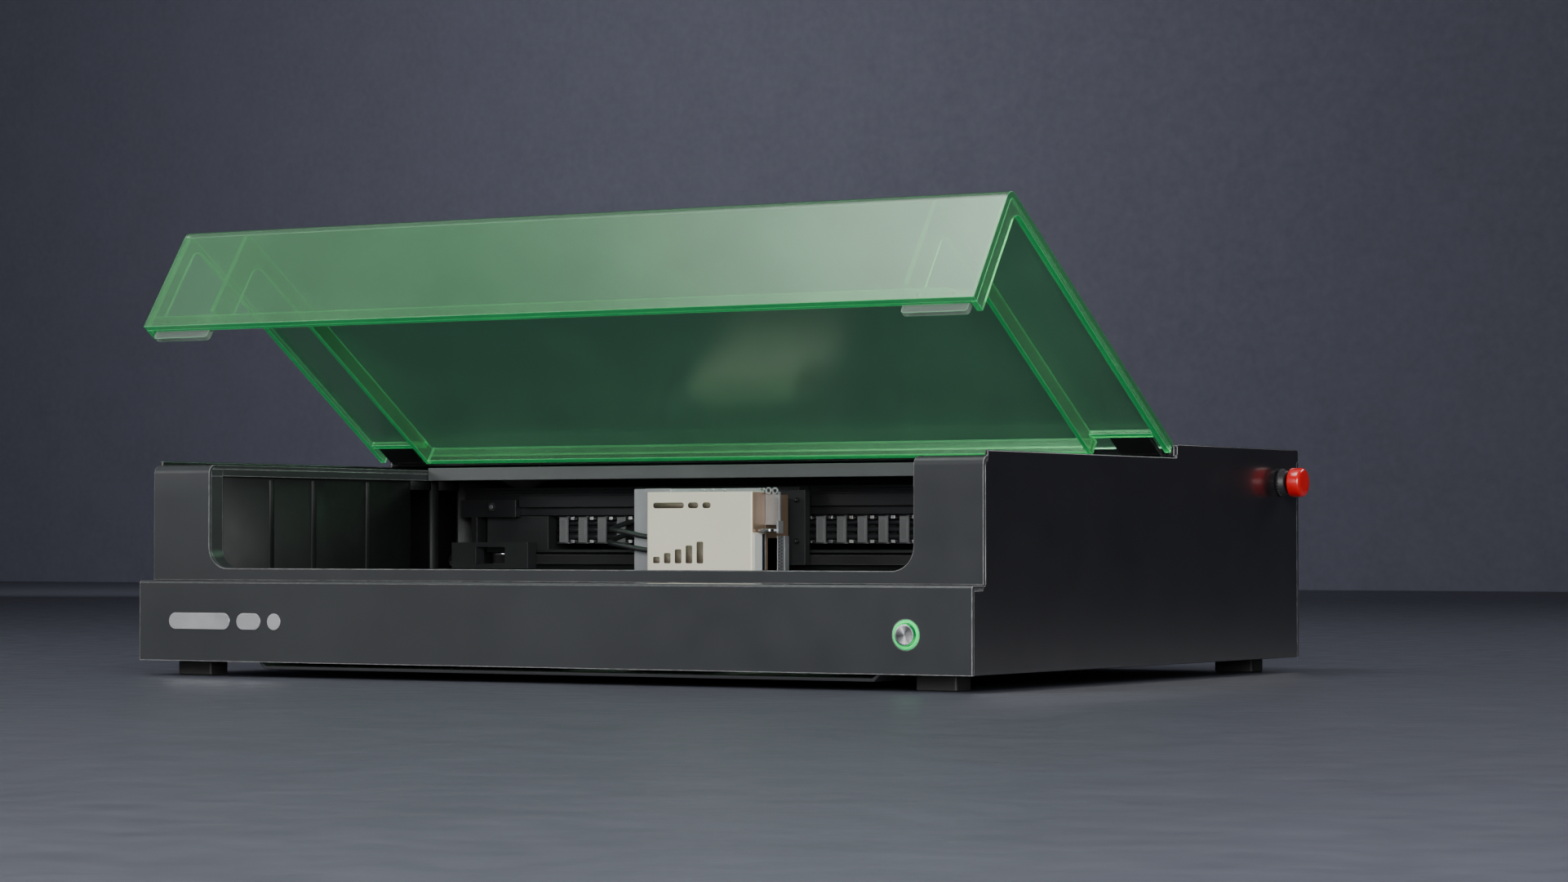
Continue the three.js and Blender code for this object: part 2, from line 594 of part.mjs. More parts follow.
// The Y drive stands on the enclosure: one pulley on the motor, one on the front axle.
function buildYPulleys() {
  const alongRight = pulley(14).rotateY(-Math.PI / 2).translate(Y_BELT.x[1] + 1, Y_BELT.rear, Y_BELT.z);
  place(machine, 'y_drive_pulley', alongRight, alloy);
  const front = pulley(0).rotateY(Math.PI / 2).translate(Y_BELT.x[0] - 1, Y_BELT.front, Y_BELT.z);
  place(machine, 'y_idler_pulley', front, alloy);
}

// ---------------------------------------------------------------- carriage and laser head
// Plate, runner block on the beam's rail and belt clamp in one casting, with the bracket that
// reaches back under the chain's fixed run to the end of its moving run.
function carriagePlate() {
  const [x0, x1] = [HEAD_X - 15, HEAD_X + 58];
  const plate = box([x0, x1], [322, 330], [88, 150]);
  const neck = box([x0 + 4, x1 - 10], [329, 344.4], [128.5, 153]);
  const rail = box([x0 - 1, x1], [BEAM.y[0] - 5.4, 346], [BEAM.z[0] + 6.6, BEAM.z[1] - 6.6]);
  const clamp = box([x0 + 8, x1 - 30], [329, 335.5], [88, 98]);
  const arm = box([x0 + 11, x0 + 45], [329, CHAIN.far + 8], [TRAY.floor + 3.3, CHAIN.z[0] - 1.2]);
  const end = box([x0 + 11, CHAIN.moving - GAP], around(CHAIN.far, 8), [TRAY.floor + 3.3, CHAIN.z[1] - 2]);
  const zRail = box(around(HEAD_X + 10, 6), [319, 323], [90, 148]);
  return join(plate, cut(neck, rail), clamp, arm, end, zRail);
}

const headX = (a, b) => [HEAD_X + a, HEAD_X + b];

// Folded front cover, open at the back.
function laserFrontCover() {
  const depth = [HEAD_FRONT, HEAD_FRONT + 19];
  const shell = box(headX(-COVER_HALF, COVER_HALF), depth, [58, 148]);
  const inside = box(headX(-COVER_HALF + 2, COVER_HALF - 2), [HEAD_FRONT + 2, depth[1] + 1], [60, 146]);
  return cut(shell, inside);
}

// Light metal back plate of the cover with the upright tab at its right; the tab's ear
// holds the gauge lever's pivot.
function laserBackPlate() {
  const y = [HEAD_FRONT + 19.3, HEAD_FRONT + 22];
  return join(
    box(headX(-76, COVER_HALF - 1), y, [58, 151]),
    box(headX(COVER_HALF - 2, COVER_HALF + 14), y, [121, 148]),
    box(headX(COVER_HALF + 10, COVER_HALF + 16), y, [121, 124]),
    box(headX(COVER_HALF + 14.3, COVER_HALF + 16), [HEAD_FRONT + 14, y[1]], [LEVER_Z - 2.5, 124]));
}

// Diode and optics body, with the side shroud that shows beside the cover.
function laserHousing() {
  const y = [HEAD_FRONT + 22.3, 307.5];
  const body = box(headX(-48, COVER_HALF - 1), y, [60, 146]);
  const recess = box(headX(COVER_HALF - 6, COVER_HALF + 1), [HEAD_FRONT + 26, 290], [64, 110]);
  return cut(body, recess);
}

// Finned heat sink behind the body.
function laserHeatsink() {
  const [y0, y1] = [307.8, 318.5];
  const block = box(headX(-46, 46), [y0, y0 + 3], [64, 142]);
  const slide = box(around(HEAD_X + 10, 10), [y0 + 2, y1], [80, 140]);
  const fins = [-44, -36, -28, -20, -12, 24, 32, 40].map((x) =>
    box(headX(x, x + 2.4), [y0 + 2, 316.5], [66, 140]));
  return join(block, slide, ...fins);
}

// Tapered nozzle with a through bore for the beam.
function laserNozzle() {
  const bore = 2.5;
  const profile = [[bore, 46], [6, 46], [10, 54], [12, 54], [12, 59.7], [bore, 59.7], [bore, 46]]
    .map(([r, z]) => new THREE.Vector2(r, z));
  const nozzle = new THREE.LatheGeometry(profile, 32).rotateX(Math.PI / 2);
  return nozzle.translate(HEAD_X, 285, 0);
}

// Fold-down gauge lever beside the cover.
function focusLever() {
  const [x0, x1] = headX(COVER_HALF + 0.6, COVER_HALF + 14);
  return join(
    box([x0, x1], [HEAD_FRONT + 6, HEAD_FRONT + 15], around(LEVER_Z, 1)),
    rodX(1.5, [x0, x1], HEAD_FRONT + 16, LEVER_Z, 16));
}

function buildHead(gantry) {
  place(gantry, 'carriage_plate', carriagePlate(), darkCoat);
  place(gantry, 'laser_front_cover', laserFrontCover(), gold);
  place(gantry, 'laser_back_plate', laserBackPlate(), alloy);
  place(gantry, 'laser_housing', laserHousing(), brown);
  place(gantry, 'laser_heatsink', laserHeatsink(), blackAlloy);
  place(gantry, 'laser_nozzle', laserNozzle(), steel);
  place(gantry, 'focus_lever', focusLever(), steel);
}

// ---------------------------------------------------------------- controls and fan
function powerButton() {
  return rodY(BUTTON.cap, [-3, 5], BUTTON.x, BUTTON.z, 36);
}

// Mushroom head on a stem.
function estopButton() {
  const { cap, stem } = ESTOP;
  const [foot0, rim, top] = [HALF + 4.8, HALF + 10, HALF + ESTOP_REACH];
  const shape = new THREE.Shape();
  shape.moveTo(0, foot0);
  shape.lineTo(stem, foot0);
  shape.lineTo(stem, rim);
  shape.lineTo(cap - 1, rim);
  shape.lineTo(cap, rim + 1);
  shape.lineTo(cap, top - 3);
  shape.absarc(cap - 3, top - 3, 3, 0, Math.PI / 2);
  shape.lineTo(0, top);
  const knob = new THREE.LatheGeometry(shape.getPoints(4), 28);
  return knob.rotateZ(-Math.PI / 2).translate(0, ESTOP.y, ESTOP.z);
}

function exhaustRotor() {
  const { x, z, bore } = FAN;
  const [front, back] = [537, 552];
  const blades = Array.from({ length: 7 }, (_, i) => {
    const blade = new THREE.BoxGeometry(3, 16, bore - 16).rotateZ(35 * DEG);
    return blade.translate(0, (front + back) / 2, (bore + 12) / 2).rotateY(i * 2 * Math.PI / 7).translate(x, 0, z);
  });
  return join(rodY(16, [front, back], x, z, 36), ...blades);
}

// Rocker with one half pressed in.
function rockerSwitch() {
  const { x, y, z, halfHeight: h } = ROCKER;
  const shape = outline([
    [y - 3, z - h], [y + 5, z - h], [y + 6, z], [y + 9, z + h], [y - 3, z + h],
  ]);
  return alongX(shape, around(x, 5.5));
}

function buildControls() {
  place(machine, 'power_button', powerButton(), steel);
  place(machine, 'estop_button', estopButton(), signalRed);
  place(machine, 'exhaust_rotor', exhaustRotor(), blackPlastic);
  place(machine, 'rocker_switch', rockerSwitch(), blackPlastic);
}

buildEnclosure();
buildLid();
const gantry = new THREE.Group();
gantry.position.y = GANTRY_BACK;
machine.add(gantry);
buildGantry(gantry);
buildHead(gantry);
buildYPulleys();
buildControls();

const root = new THREE.Group();
root.add(machine);
export default root;
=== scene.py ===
"""Looks of a desktop laser cutter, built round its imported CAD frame.

Shapes are made in millimetres of the row frame and scaled to metres when a piece is finished.
"""
import json
import math

import bmesh
import bpy
from mathutils import Matrix, Vector

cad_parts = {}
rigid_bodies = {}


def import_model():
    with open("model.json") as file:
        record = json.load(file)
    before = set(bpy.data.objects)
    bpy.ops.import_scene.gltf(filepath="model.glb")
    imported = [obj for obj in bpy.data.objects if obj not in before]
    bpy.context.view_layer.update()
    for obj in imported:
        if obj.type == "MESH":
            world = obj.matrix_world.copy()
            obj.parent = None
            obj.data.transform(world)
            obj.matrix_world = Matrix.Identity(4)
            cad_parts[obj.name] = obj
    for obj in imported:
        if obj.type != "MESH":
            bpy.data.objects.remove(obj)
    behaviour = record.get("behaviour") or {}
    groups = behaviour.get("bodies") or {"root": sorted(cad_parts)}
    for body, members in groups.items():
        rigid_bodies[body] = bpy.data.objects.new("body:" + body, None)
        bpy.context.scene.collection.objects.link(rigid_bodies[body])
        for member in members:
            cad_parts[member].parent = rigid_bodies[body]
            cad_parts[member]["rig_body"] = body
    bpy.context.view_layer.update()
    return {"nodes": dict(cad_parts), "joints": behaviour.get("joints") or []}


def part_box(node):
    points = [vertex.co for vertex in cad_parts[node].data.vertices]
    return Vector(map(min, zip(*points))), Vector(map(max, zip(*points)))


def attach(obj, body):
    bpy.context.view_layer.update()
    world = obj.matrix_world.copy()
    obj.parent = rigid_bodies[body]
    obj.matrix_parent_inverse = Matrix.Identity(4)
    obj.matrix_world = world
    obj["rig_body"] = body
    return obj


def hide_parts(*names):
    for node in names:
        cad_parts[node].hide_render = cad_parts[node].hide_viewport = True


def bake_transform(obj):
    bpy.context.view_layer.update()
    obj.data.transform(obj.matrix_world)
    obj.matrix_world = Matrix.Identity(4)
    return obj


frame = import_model()

MM = 0.001
X, Y, Z = 0, 1, 2
SIDES = ((-1, "left"), (1, "right"))
JOINTS = {joint["name"]: joint for joint in frame["joints"]}


# ---------------------------------------------------------------- measures from the frame
def span(node):
    """Lowest and highest corner of a CAD node, in millimetres."""
    low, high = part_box(node)
    return low / MM, high / MM


def both(side, near, far):
    """The same x span on the left or right, measured outwards from the machine's middle."""
    ends = (MIDDLE + side * near, MIDDLE + side * far)
    return min(ends), max(ends)


FRAME_LOW, FRAME_HIGH = span("front_frame")
MIDDLE = (FRAME_LOW.x + FRAME_HIGH.x) / 2
HALF = (FRAME_HIGH.x - FRAME_LOW.x) / 2

HINGE = Vector(JOINTS["lid_hinge"]["pos_m"]) / MM
LID_OPEN = math.radians(JOINTS["lid_hinge"]["range_deg"][0])
LID_TURN = Matrix.Translation(HINGE) @ Matrix.Rotation(LID_OPEN, 4, "X") @ Matrix.Translation(-HINGE)


def closed_span(node):
    """Corners of a lid node with the lid shut, in millimetres."""
    back = LID_TURN.inverted()
    points = [back @ (v.co / MM) for v in frame["nodes"][node].data.vertices]
    low = Vector([min(p[k] for p in points) for k in range(3)])
    high = Vector([max(p[k] for p in points) for k in range(3)])
    return low, high


# ---------------------------------------------------------------- materials
class Nodes:
    """A material's node tree with short calls for what the finishes share."""

    def __init__(self, name):
        self.material = bpy.data.materials.new(name)
        self.material.use_nodes = True
        self.tree = self.material.node_tree
        self.shader = self.tree.nodes["Principled BSDF"]
        self.place = self.add("ShaderNodeTexCoord").outputs["Object"]

    def add(self, kind, **settings):
        node = self.tree.nodes.new(kind)
        for key, value in settings.items():
            setattr(node, key, value)
        return node

    def link(self, source, target):
        self.tree.links.new(source, target)

    def moved(self, location=(0, 0, 0), scale=(1, 1, 1)):
        mapping = self.add("ShaderNodeMapping")
        mapping.inputs["Location"].default_value = location
        mapping.inputs["Scale"].default_value = scale
        self.link(self.place, mapping.inputs["Vector"])
        return mapping.outputs["Vector"]

    def noise(self, scale, detail=3.0, stretch=(1, 1, 1)):
        node = self.add("ShaderNodeTexNoise")
        node.inputs["Scale"].default_value = scale
        node.inputs["Detail"].default_value = detail
        self.link(self.moved(scale=stretch), node.inputs["Vector"])
        return node.outputs["Fac"]

    def ranged(self, value, low, high, start=0.3, stop=0.7):
        node = self.add("ShaderNodeMapRange")
        node.inputs["From Min"].default_value = start
        node.inputs["From Max"].default_value = stop
        node.inputs["To Min"].default_value = low
        node.inputs["To Max"].default_value = high
        self.link(value, node.inputs["Value"])
        return node.outputs["Result"]

    def mixed(self, factor, first, second):
        node = self.add("ShaderNodeMix", data_type="RGBA")
        self.link(factor, node.inputs["Factor"])
        for value, socket in ((first, node.inputs["A"]), (second, node.inputs["B"])):
            if isinstance(value, tuple):
                socket.default_value = (*value, 1)
            else:
                self.link(value, socket)
        return node.outputs["Result"]

    def edges(self, radius=0.0011):
        """0 on flat faces, up to 1 on convex edges, from the difference a rounded normal makes."""
        rounded = self.add("ShaderNodeBevel", samples=4)
        rounded.inputs["Radius"].default_value = radius
        true = self.add("ShaderNodeNewGeometry")
        dot = self.add("ShaderNodeVectorMath", operation="DOT_PRODUCT")
        self.link(rounded.outputs["Normal"], dot.inputs[0])
        self.link(true.outputs["Normal"], dot.inputs[1])
        return self.ranged(dot.outputs["Value"], 1.0, 0.0, 0.80, 0.99)

    def bump(self, height, strength, distance=0.0002, under=None):
        node = self.add("ShaderNodeBump")
        node.inputs["Strength"].default_value = strength
        node.inputs["Distance"].default_value = distance
        self.link(height, node.inputs["Height"])
        if under is not None:
            self.link(under, node.inputs["Normal"])
        return node.outputs["Normal"]

    def set(self, **values):
        for key, value in values.items():
            self.shader.inputs[key.replace("_", " ")].default_value = value


def tone(colour, factor):
    return tuple(min(1.0, channel * factor) for channel in colour)


def finish_of(name, colour, rough, grain, metal=0.0, uneven=0.12, wear_and_highlight=0.0, coat=0.0,
              stretch=(1, 1, 1), bright=2.6):
    """Coloured surface with fine grain (scale, strength), soft unevenness and convex edges lightened by the
    `bright` gain, partly wear and partly painted highlight.
    """
    made = Nodes(name)
    scale, strength = grain
    cloud = made.noise(11.0, 4.0)
    fine = made.noise(scale, 2.0, stretch)
    body = made.mixed(made.ranged(cloud, 0, 1), tone(colour, 1 - uneven), tone(colour, 1 + uneven))
    speck = made.ranged(fine, 0.0, 0.35, 0.35, 0.8)
    body = made.mixed(speck, body, tone(colour, 1.35))
    # Convex edges lightened: partly wear, partly a painted highlight where light would catch the rounded
    # edges.
    if wear_and_highlight:
        mask = made.add("ShaderNodeMath", operation="MULTIPLY")
        made.link(made.edges(), mask.inputs[0])
        made.link(made.ranged(made.noise(160.0), wear_and_highlight * 0.35, wear_and_highlight), mask.inputs[1])
        body = made.mixed(mask.outputs["Value"], body, tone(colour, bright))
    made.link(body, made.shader.inputs["Base Color"])
    rub = made.noise(34.0, 5.0)
    made.link(made.ranged(rub, rough * 0.88, rough * 1.14), made.shader.inputs["Roughness"])
    made.link(made.bump(fine, strength), made.shader.inputs["Normal"])
    made.set(Metallic=metal, Coat_Weight=coat, Coat_Roughness=0.12)
    return made.material


EDGE_LINE = 1.1    # painted glow given off along an acrylic edge


def acrylic(name, colour, rough, glow=0.0, through=1.0, shine=0.5):
    """Tinted clear acrylic with fine dust, whose convex edges glow as thin green lines: painted light given
    off by the surface, standing in for light caught in the edges.
    """
    made = Nodes(name)
    dust = made.noise(2600.0, 1.0)
    wave = made.noise(14.0, 2.0)
    tint = made.mixed(made.ranged(wave, 0, 1), tone(colour, 0.94), tone(colour, 1.06))
    made.link(tint, made.shader.inputs["Base Color"])
    made.link(made.ranged(dust, rough, rough + 0.02, 0.6, 0.8), made.shader.inputs["Roughness"])
    made.link(made.bump(wave, 0.01, 0.0008), made.shader.inputs["Normal"])
    made.set(Transmission_Weight=through, IOR=1.49, Specular_IOR_Level=shine)
    # Painted glow: green emission, full on convex edges and `glow` on flat faces.
    made.shader.inputs["Emission Color"].default_value = (0.08, 0.85, 0.28, 1)
    made.link(made.ranged(made.edges(0.0007), glow, EDGE_LINE, 0, 1), made.shader.inputs["Emission Strength"])
    return made.material


def glowing(name, colour, strength):
    """Light guide lit from inside, slightly uneven along its length."""
    made = Nodes(name)
    cloud = made.noise(90.0, 2.0)
    shade = made.mixed(made.ranged(cloud, 0, 1), tone(colour, 0.8), tone(colour, 1.15))
    made.link(shade, made.shader.inputs["Base Color"])
    made.link(shade, made.shader.inputs["Emission Color"])
    made.link(made.bump(made.noise(1500.0), 0.05), made.shader.inputs["Normal"])
    made.link(made.ranged(cloud, 0.2, 0.35), made.shader.inputs["Roughness"])
    made.set(Emission_Strength=strength)
    return made.material


def turned(name, colour, rough, centre):
    """Metal turned on a lathe: fine rings and a painted radial sheen, light and dark lobes in the colour,
    about a Y axis through `centre`.
    """
    made = Nodes(name)
    local = made.moved(location=(-centre[0], 0, -centre[2]))
    parts = made.add("ShaderNodeSeparateXYZ")
    made.link(local, parts.inputs["Vector"])
    angle = made.add("ShaderNodeMath", operation="ARCTAN2")
    made.link(parts.outputs["X"], angle.inputs[0])
    made.link(parts.outputs["Z"], angle.inputs[1])
    streak = made.add("ShaderNodeTexNoise", noise_dimensions="1D")
    streak.inputs["Scale"].default_value = 9.0
    streak.inputs["Detail"].default_value = 6.0
    made.link(angle.outputs["Value"], streak.inputs["W"])
    fine = made.mixed(made.ranged(streak.outputs["Fac"], 0, 1), tone(colour, 0.75), tone(colour, 1.2))
    # Painted sheen: two lobes about the centre take a darkened copy of the colour, the other two keep the
    # streaked tone.
    twice = made.add("ShaderNodeMath", operation="MULTIPLY_ADD")
    twice.inputs[1].default_value = 2.0
    twice.inputs[2].default_value = 0.9
    made.link(angle.outputs["Value"], twice.inputs[0])
    sheen_lobe = made.add("ShaderNodeMath", operation="COSINE")
    made.link(twice.outputs["Value"], sheen_lobe.inputs[0])
    shade = made.mixed(made.ranged(sheen_lobe.outputs["Value"], 0, 1, -0.7, 0.5), tone(colour, 0.35), fine)
    made.link(shade, made.shader.inputs["Base Color"])
    made.link(made.ranged(streak.outputs["Fac"], rough, rough + 0.2), made.shader.inputs["Roughness"])
    around = made.add("ShaderNodeTangent", direction_type="RADIAL", axis="Y")
    made.link(around.outputs["Tangent"], made.shader.inputs["Tangent"])
    made.set(Metallic=1.0, Anisotropic=0.8)
    return made.material


def centre_of(node):
    low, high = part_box(node)
    return tuple((low + high) / 2)


def brushed(name, colour, rough, stretch=(0.02, 1, 1), metal=1.0, wear_and_highlight=0.0):
    return finish_of(name, colour, rough, (2400.0, 0.12), metal=metal, uneven=0.06,
                     stretch=stretch, wear_and_highlight=wear_and_highlight)


GREEN = (0.34, 0.76, 0.44)
# Lightened edges in these finishes are partly wear and partly painted highlight; the large edge gains of the
# graphite coat, the satin black coat and the rubber paint thin highlight lines along their edges.
FINISH = {
    "grey_coat": finish_of("graphite_powder_coat", (0.036, 0.039, 0.042), 0.40, (2600.0, 0.16),
                           metal=0.25, wear_and_highlight=0.95, bright=28.0),
    "black_gloss": finish_of("near_black_satin_coat", (0.012, 0.012, 0.014), 0.24, (2200.0, 0.05),
                             coat=0.35, wear_and_highlight=0.95, bright=24.0),
    "dark_coat": finish_of("dark_grey_coat", (0.015, 0.016, 0.017), 0.55, (2400.0, 0.16), wear_and_highlight=0.25),
    "lip_grey": finish_of("mid_grey_coat", (0.13, 0.135, 0.14), 0.42, (2600.0, 0.12), metal=0.3,
                          wear_and_highlight=0.5),
    "pan_steel": finish_of("coated_steel", (0.025, 0.026, 0.029), 0.5, (1800.0, 0.2), metal=0.2,
                           wear_and_highlight=0.3),
    "bed_alloy": brushed("bed_alloy", (0.50, 0.51, 0.52), 0.36, wear_and_highlight=0.4),
    "rail_steel": brushed("ground_steel", (0.58, 0.59, 0.60), 0.24, stretch=(1, 0.02, 1)),
    "pulley_alloy": brushed("pulley_alloy", (0.72, 0.73, 0.75), 0.28, stretch=(1, 1, 1)),
    "black_anodised": finish_of("black_anodised", (0.030, 0.031, 0.033), 0.34, (2600.0, 0.10),
                                metal=0.6, wear_and_highlight=0.5, stretch=(0.05, 1, 1)),
    "motor_black": finish_of("motor_laminations", (0.03, 0.03, 0.032), 0.42, (1600.0, 0.2), metal=0.5,
                             wear_and_highlight=0.4),
    "supply_case": brushed("plated_steel", (0.55, 0.56, 0.56), 0.38, metal=0.9),
    "black_plastic": finish_of("black_moulded_plastic", (0.018, 0.018, 0.020), 0.46, (1300.0, 0.3),
                               wear_and_highlight=0.3),
    "rubber_black": finish_of("black_rubber", (0.012, 0.012, 0.012), 0.6, (900.0, 0.3), wear_and_highlight=0.9,
                              bright=12.0),
    "hinge_black": finish_of("hinge_black", (0.03, 0.03, 0.032), 0.36, (2000.0, 0.1), metal=0.6,
                             wear_and_highlight=0.5),
    "green_acrylic": acrylic("green_acrylic", GREEN, 0.02, through=0.88, shine=0.35),
    "clear_grey_pad": acrylic("clear_grey_pad", (0.60, 0.66, 0.62), 0.25, through=0.8),
    "champagne_cover": finish_of("champagne_anodised", (0.93, 0.85, 0.69), 0.40, (2600.0, 0.06),
                                 metal=0.1, uneven=0.03, wear_and_highlight=0.25),
    "light_plate": brushed("light_plate", (0.42, 0.43, 0.45), 0.38, stretch=(1, 1, 0.02), metal=0.7,
                           wear_and_highlight=0.3),
    "bronze_body": finish_of("bronze_anodised", (0.27, 0.18, 0.12), 0.4, (2600.0, 0.08), metal=0.45,
                             wear_and_highlight=0.4),
    "button_glow": glowing("button_glow", (0.0, 0.60, 0.13), 0.95),
    "button_steel": turned("turned_steel", (0.92, 0.94, 0.95), 0.30, centre_of("power_button")),
    "estop_red": finish_of("glossy_red_plastic", (0.60, 0.008, 0.010), 0.2, (900.0, 0.03), coat=0.5,
                           uneven=0.04),
}
ACRYLIC_TOP = acrylic("green_acrylic_top", GREEN, 0.03, through=0.92, shine=0.0)
ACRYLIC_UNDER = acrylic("green_acrylic_underside", GREEN, 0.2, through=0.93, shine=0.0)
# Lit and shaded copies of the acrylic for its edges: the edge copy is brighter and glows faintly all over
# with painted light; the rim copy is darker, painted shade for the rims turned from the light.
ACRYLIC_LIT_EDGE = acrylic("green_acrylic_edge_lit", (0.06, 0.52, 0.18), 0.2, glow=0.06, through=0.7)
ACRYLIC_SHADED_RIM = acrylic("green_acrylic_rim_shaded", (0.06, 0.30, 0.12), 0.3, through=0.6)
SCREW_STEEL = finish_of("zinc_screws", (0.55, 0.56, 0.58), 0.3, (1500.0, 0.1), metal=1.0)
CHAIN_GREY = finish_of("grey_nylon", (0.13, 0.132, 0.135), 0.42, (1300.0, 0.2), wear_and_highlight=0.5)
CABLE_BLACK = finish_of("cable_jacket", (0.02, 0.021, 0.023), 0.42, (700.0, 0.2))
WALL_BLACK = finish_of("wall_black", (0.009, 0.009, 0.010), 0.6, (2400.0, 0.16), wear_and_highlight=0.4)
WHITE_PANEL = finish_of("white_panel", (0.85, 0.85, 0.83), 0.45, (1800.0, 0.08), uneven=0.03)
NIGHT_BLUE = finish_of("blue_black_panel", (0.010, 0.016, 0.030), 0.35, (1800.0, 0.08))
MARK_BRONZE = finish_of("bronze_print", (0.13, 0.105, 0.075), 0.5, (2400.0, 0.1), uneven=0.05)
BADGE_SILVER = brushed("badge_silver", (0.78, 0.79, 0.80), 0.34, stretch=(0.05, 1, 1))


# ---------------------------------------------------------------- mesh helpers
def arc(centre, radius, start, stop, steps):
    """Points on a circle, angles in degrees."""
    points = []
    for i in range(steps + 1):
        angle = math.radians(start + (stop - start) * i / steps)
        points.append((centre[0] + radius * math.cos(angle), centre[1] + radius * math.sin(angle)))
    return points


def filleted(corners, steps=6):
    """Closed outline from corners (a, b) or (a, b, radius), with the given corners rounded."""
    outline = []
    count = len(corners)
    for i, corner in enumerate(corners):
        point = Vector(corner[:2])
        radius = corner[2] if len(corner) > 2 else 0
        if not radius:
            outline.append(tuple(point))
            continue
        before = (Vector(corners[i - 1][:2]) - point).normalized()
        after = (Vector(corners[(i + 1) % count][:2]) - point).normalized()
        half = before.angle(after) / 2
        middle = point + (before + after).normalized() * (radius / math.sin(half))
        first = point + before * (radius / math.tan(half)) - middle
        last = point + after * (radius / math.tan(half)) - middle
        start = math.atan2(first.y, first.x)
        turn = (math.atan2(last.y, last.x) - start + math.pi) % (2 * math.pi) - math.pi
        for k in range(steps + 1):
            angle = start + turn * k / steps
            outline.append((middle.x + radius * math.cos(angle), middle.y + radius * math.sin(angle)))
    return outline


def rounded_box(a0, a1, b0, b1, radius, steps=5):
    return filleted([(a0, b0, radius), (a1, b0, radius), (a1, b1, radius), (a0, b1, radius)], steps)


def circle(a, b, radius, steps=32):
    return arc((a, b), radius, 0, 360 * (steps - 1) / steps, steps - 1)


def spot(axis, depth, a, b):
    """Point at `depth` along `axis`; a and b are the other two coordinates in x, y, z order."""
    return ((depth, a, b), (a, depth, b), (a, b, depth))[axis]


class Piece:
    """A mesh in the making. Each closed solid that is added brings its own material."""

    def __init__(self, name):
        self.name = name
        self.mesh = bmesh.new()
        self.paints = []

    def paint(self, faces, material):
        if material not in self.paints:
            self.paints.append(material)
        for face in faces:
            face.material_index = self.paints.index(material)
        return faces

    def solid(self, rings, material, loop=False, caps=True):
        """Skins rings of the same length into a closed solid."""
        made = [[self.mesh.verts.new(point) for point in ring] for ring in rings]
        faces = []
        count = len(made[0])
        pairs = list(zip(made, made[1:]))
        if loop:
            pairs.append((made[-1], made[0]))
        for low, high in pairs:
            for i in range(count):
                j = (i + 1) % count
                faces.append(self.mesh.faces.new((low[i], low[j], high[j], high[i])))
        if caps and not loop:
            faces.append(self.mesh.faces.new(list(reversed(made[0]))))
            faces.append(self.mesh.faces.new(made[-1]))
        bmesh.ops.recalc_face_normals(self.mesh, faces=faces)
        return self.paint(faces, material)

    def prism(self, axis, outline, ends, material):
        """An outline across `axis` drawn out between the two ends."""
        return self.solid([[spot(axis, depth, a, b) for a, b in outline] for depth in ends], material)

    def box(self, x, y, z, material, radius=0.0, axis=Z):
        spans = [x, y, z]
        depth = spans.pop(axis)
        (a0, a1), (b0, b1) = spans
        outline = rounded_box(a0, a1, b0, b1, radius) if radius else [(a0, b0), (a1, b0), (a1, b1), (a0, b1)]
        return self.prism(axis, outline, depth, material)

    def lathe(self, axis, centre, profile, material, steps=40, loop=False):
        """Turns (radius, depth) points about an axis; a radius of 0 is closed with a fine cap."""
        rings = []
        for radius, depth in profile:
            size = max(radius, 0.02)
            rings.append([spot(axis, depth, a, b) for a, b in circle(*centre, size, steps)])
        return self.solid(rings, material, loop=loop)

    def rod(self, axis, centre, radius, ends, material, steps=32, edge=0.4):
        d0, d1 = ends
        profile = [(radius - edge, d0), (radius, d0 + edge), (radius, d1 - edge), (radius - edge, d1)]
        return self.lathe(axis, centre, profile, material, steps)

    def ring(self, axis, centre, inner, outer, ends, material, steps=40):
        d0, d1 = ends
        profile = [(inner, d0), (outer, d0), (outer, d1), (inner, d1)]
        return self.lathe(axis, centre, profile, material, steps, loop=True)

    def screw(self, axis, centre, seat, out, radius=3.0, material=None):
        """Button head with a round socket, standing on `seat` and facing along `out` (+1 or -1)."""
        up = [(0.0, 0.0), (radius, 0.0), (radius, 0.5), (radius * 0.82, 1.2), (radius * 0.5, 1.5),
              (radius * 0.45, 0.5), (0.0, 0.4)]
        profile = [(r, seat + out * d) for r, d in up]
        return self.lathe(axis, centre, profile, material or SCREW_STEEL, 20)

    def tube(self, path, radius, material, sides=12):
        points = [Vector(p) for p in path]
        normal = None
        rings = []
        for i, point in enumerate(points):
            ahead = (points[min(i + 1, len(points) - 1)] - points[max(i - 1, 0)]).normalized()
            if normal is None:
                normal = ahead.orthogonal().normalized()
            normal = (normal - ahead * normal.dot(ahead)).normalized()
            across = ahead.cross(normal)
            ring = [point + radius * (normal * math.cos(t) + across * math.sin(t))
                    for t in (2 * math.pi * k / sides for k in range(sides))]
            rings.append([tuple(p) for p in ring])
        return self.solid(rings, material)

    def turn(self, matrix):
        bmesh.ops.transform(self.mesh, matrix=matrix, verts=self.mesh.verts)

    def loose(self, bevel=0.4, segments=2):
        """The finished object, in metres, on no body yet."""
        bmesh.ops.scale(self.mesh, vec=(MM, MM, MM), verts=self.mesh.verts)
        data = bpy.data.meshes.new(self.name)
        self.mesh.to_mesh(data)
        self.mesh.free()
        for material in self.paints:
            data.materials.append(material)
        made = bpy.data.objects.new(self.name, data)
        bpy.context.scene.collection.objects.link(made)
        soften(made, bevel, segments)
        return made

    def done(self, body, slot, replaces=(), bevel=0.4, segments=2):
        made = self.loose(bevel, segments)
        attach(made, body)
        if replaces:
            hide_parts(*replaces)
        return made


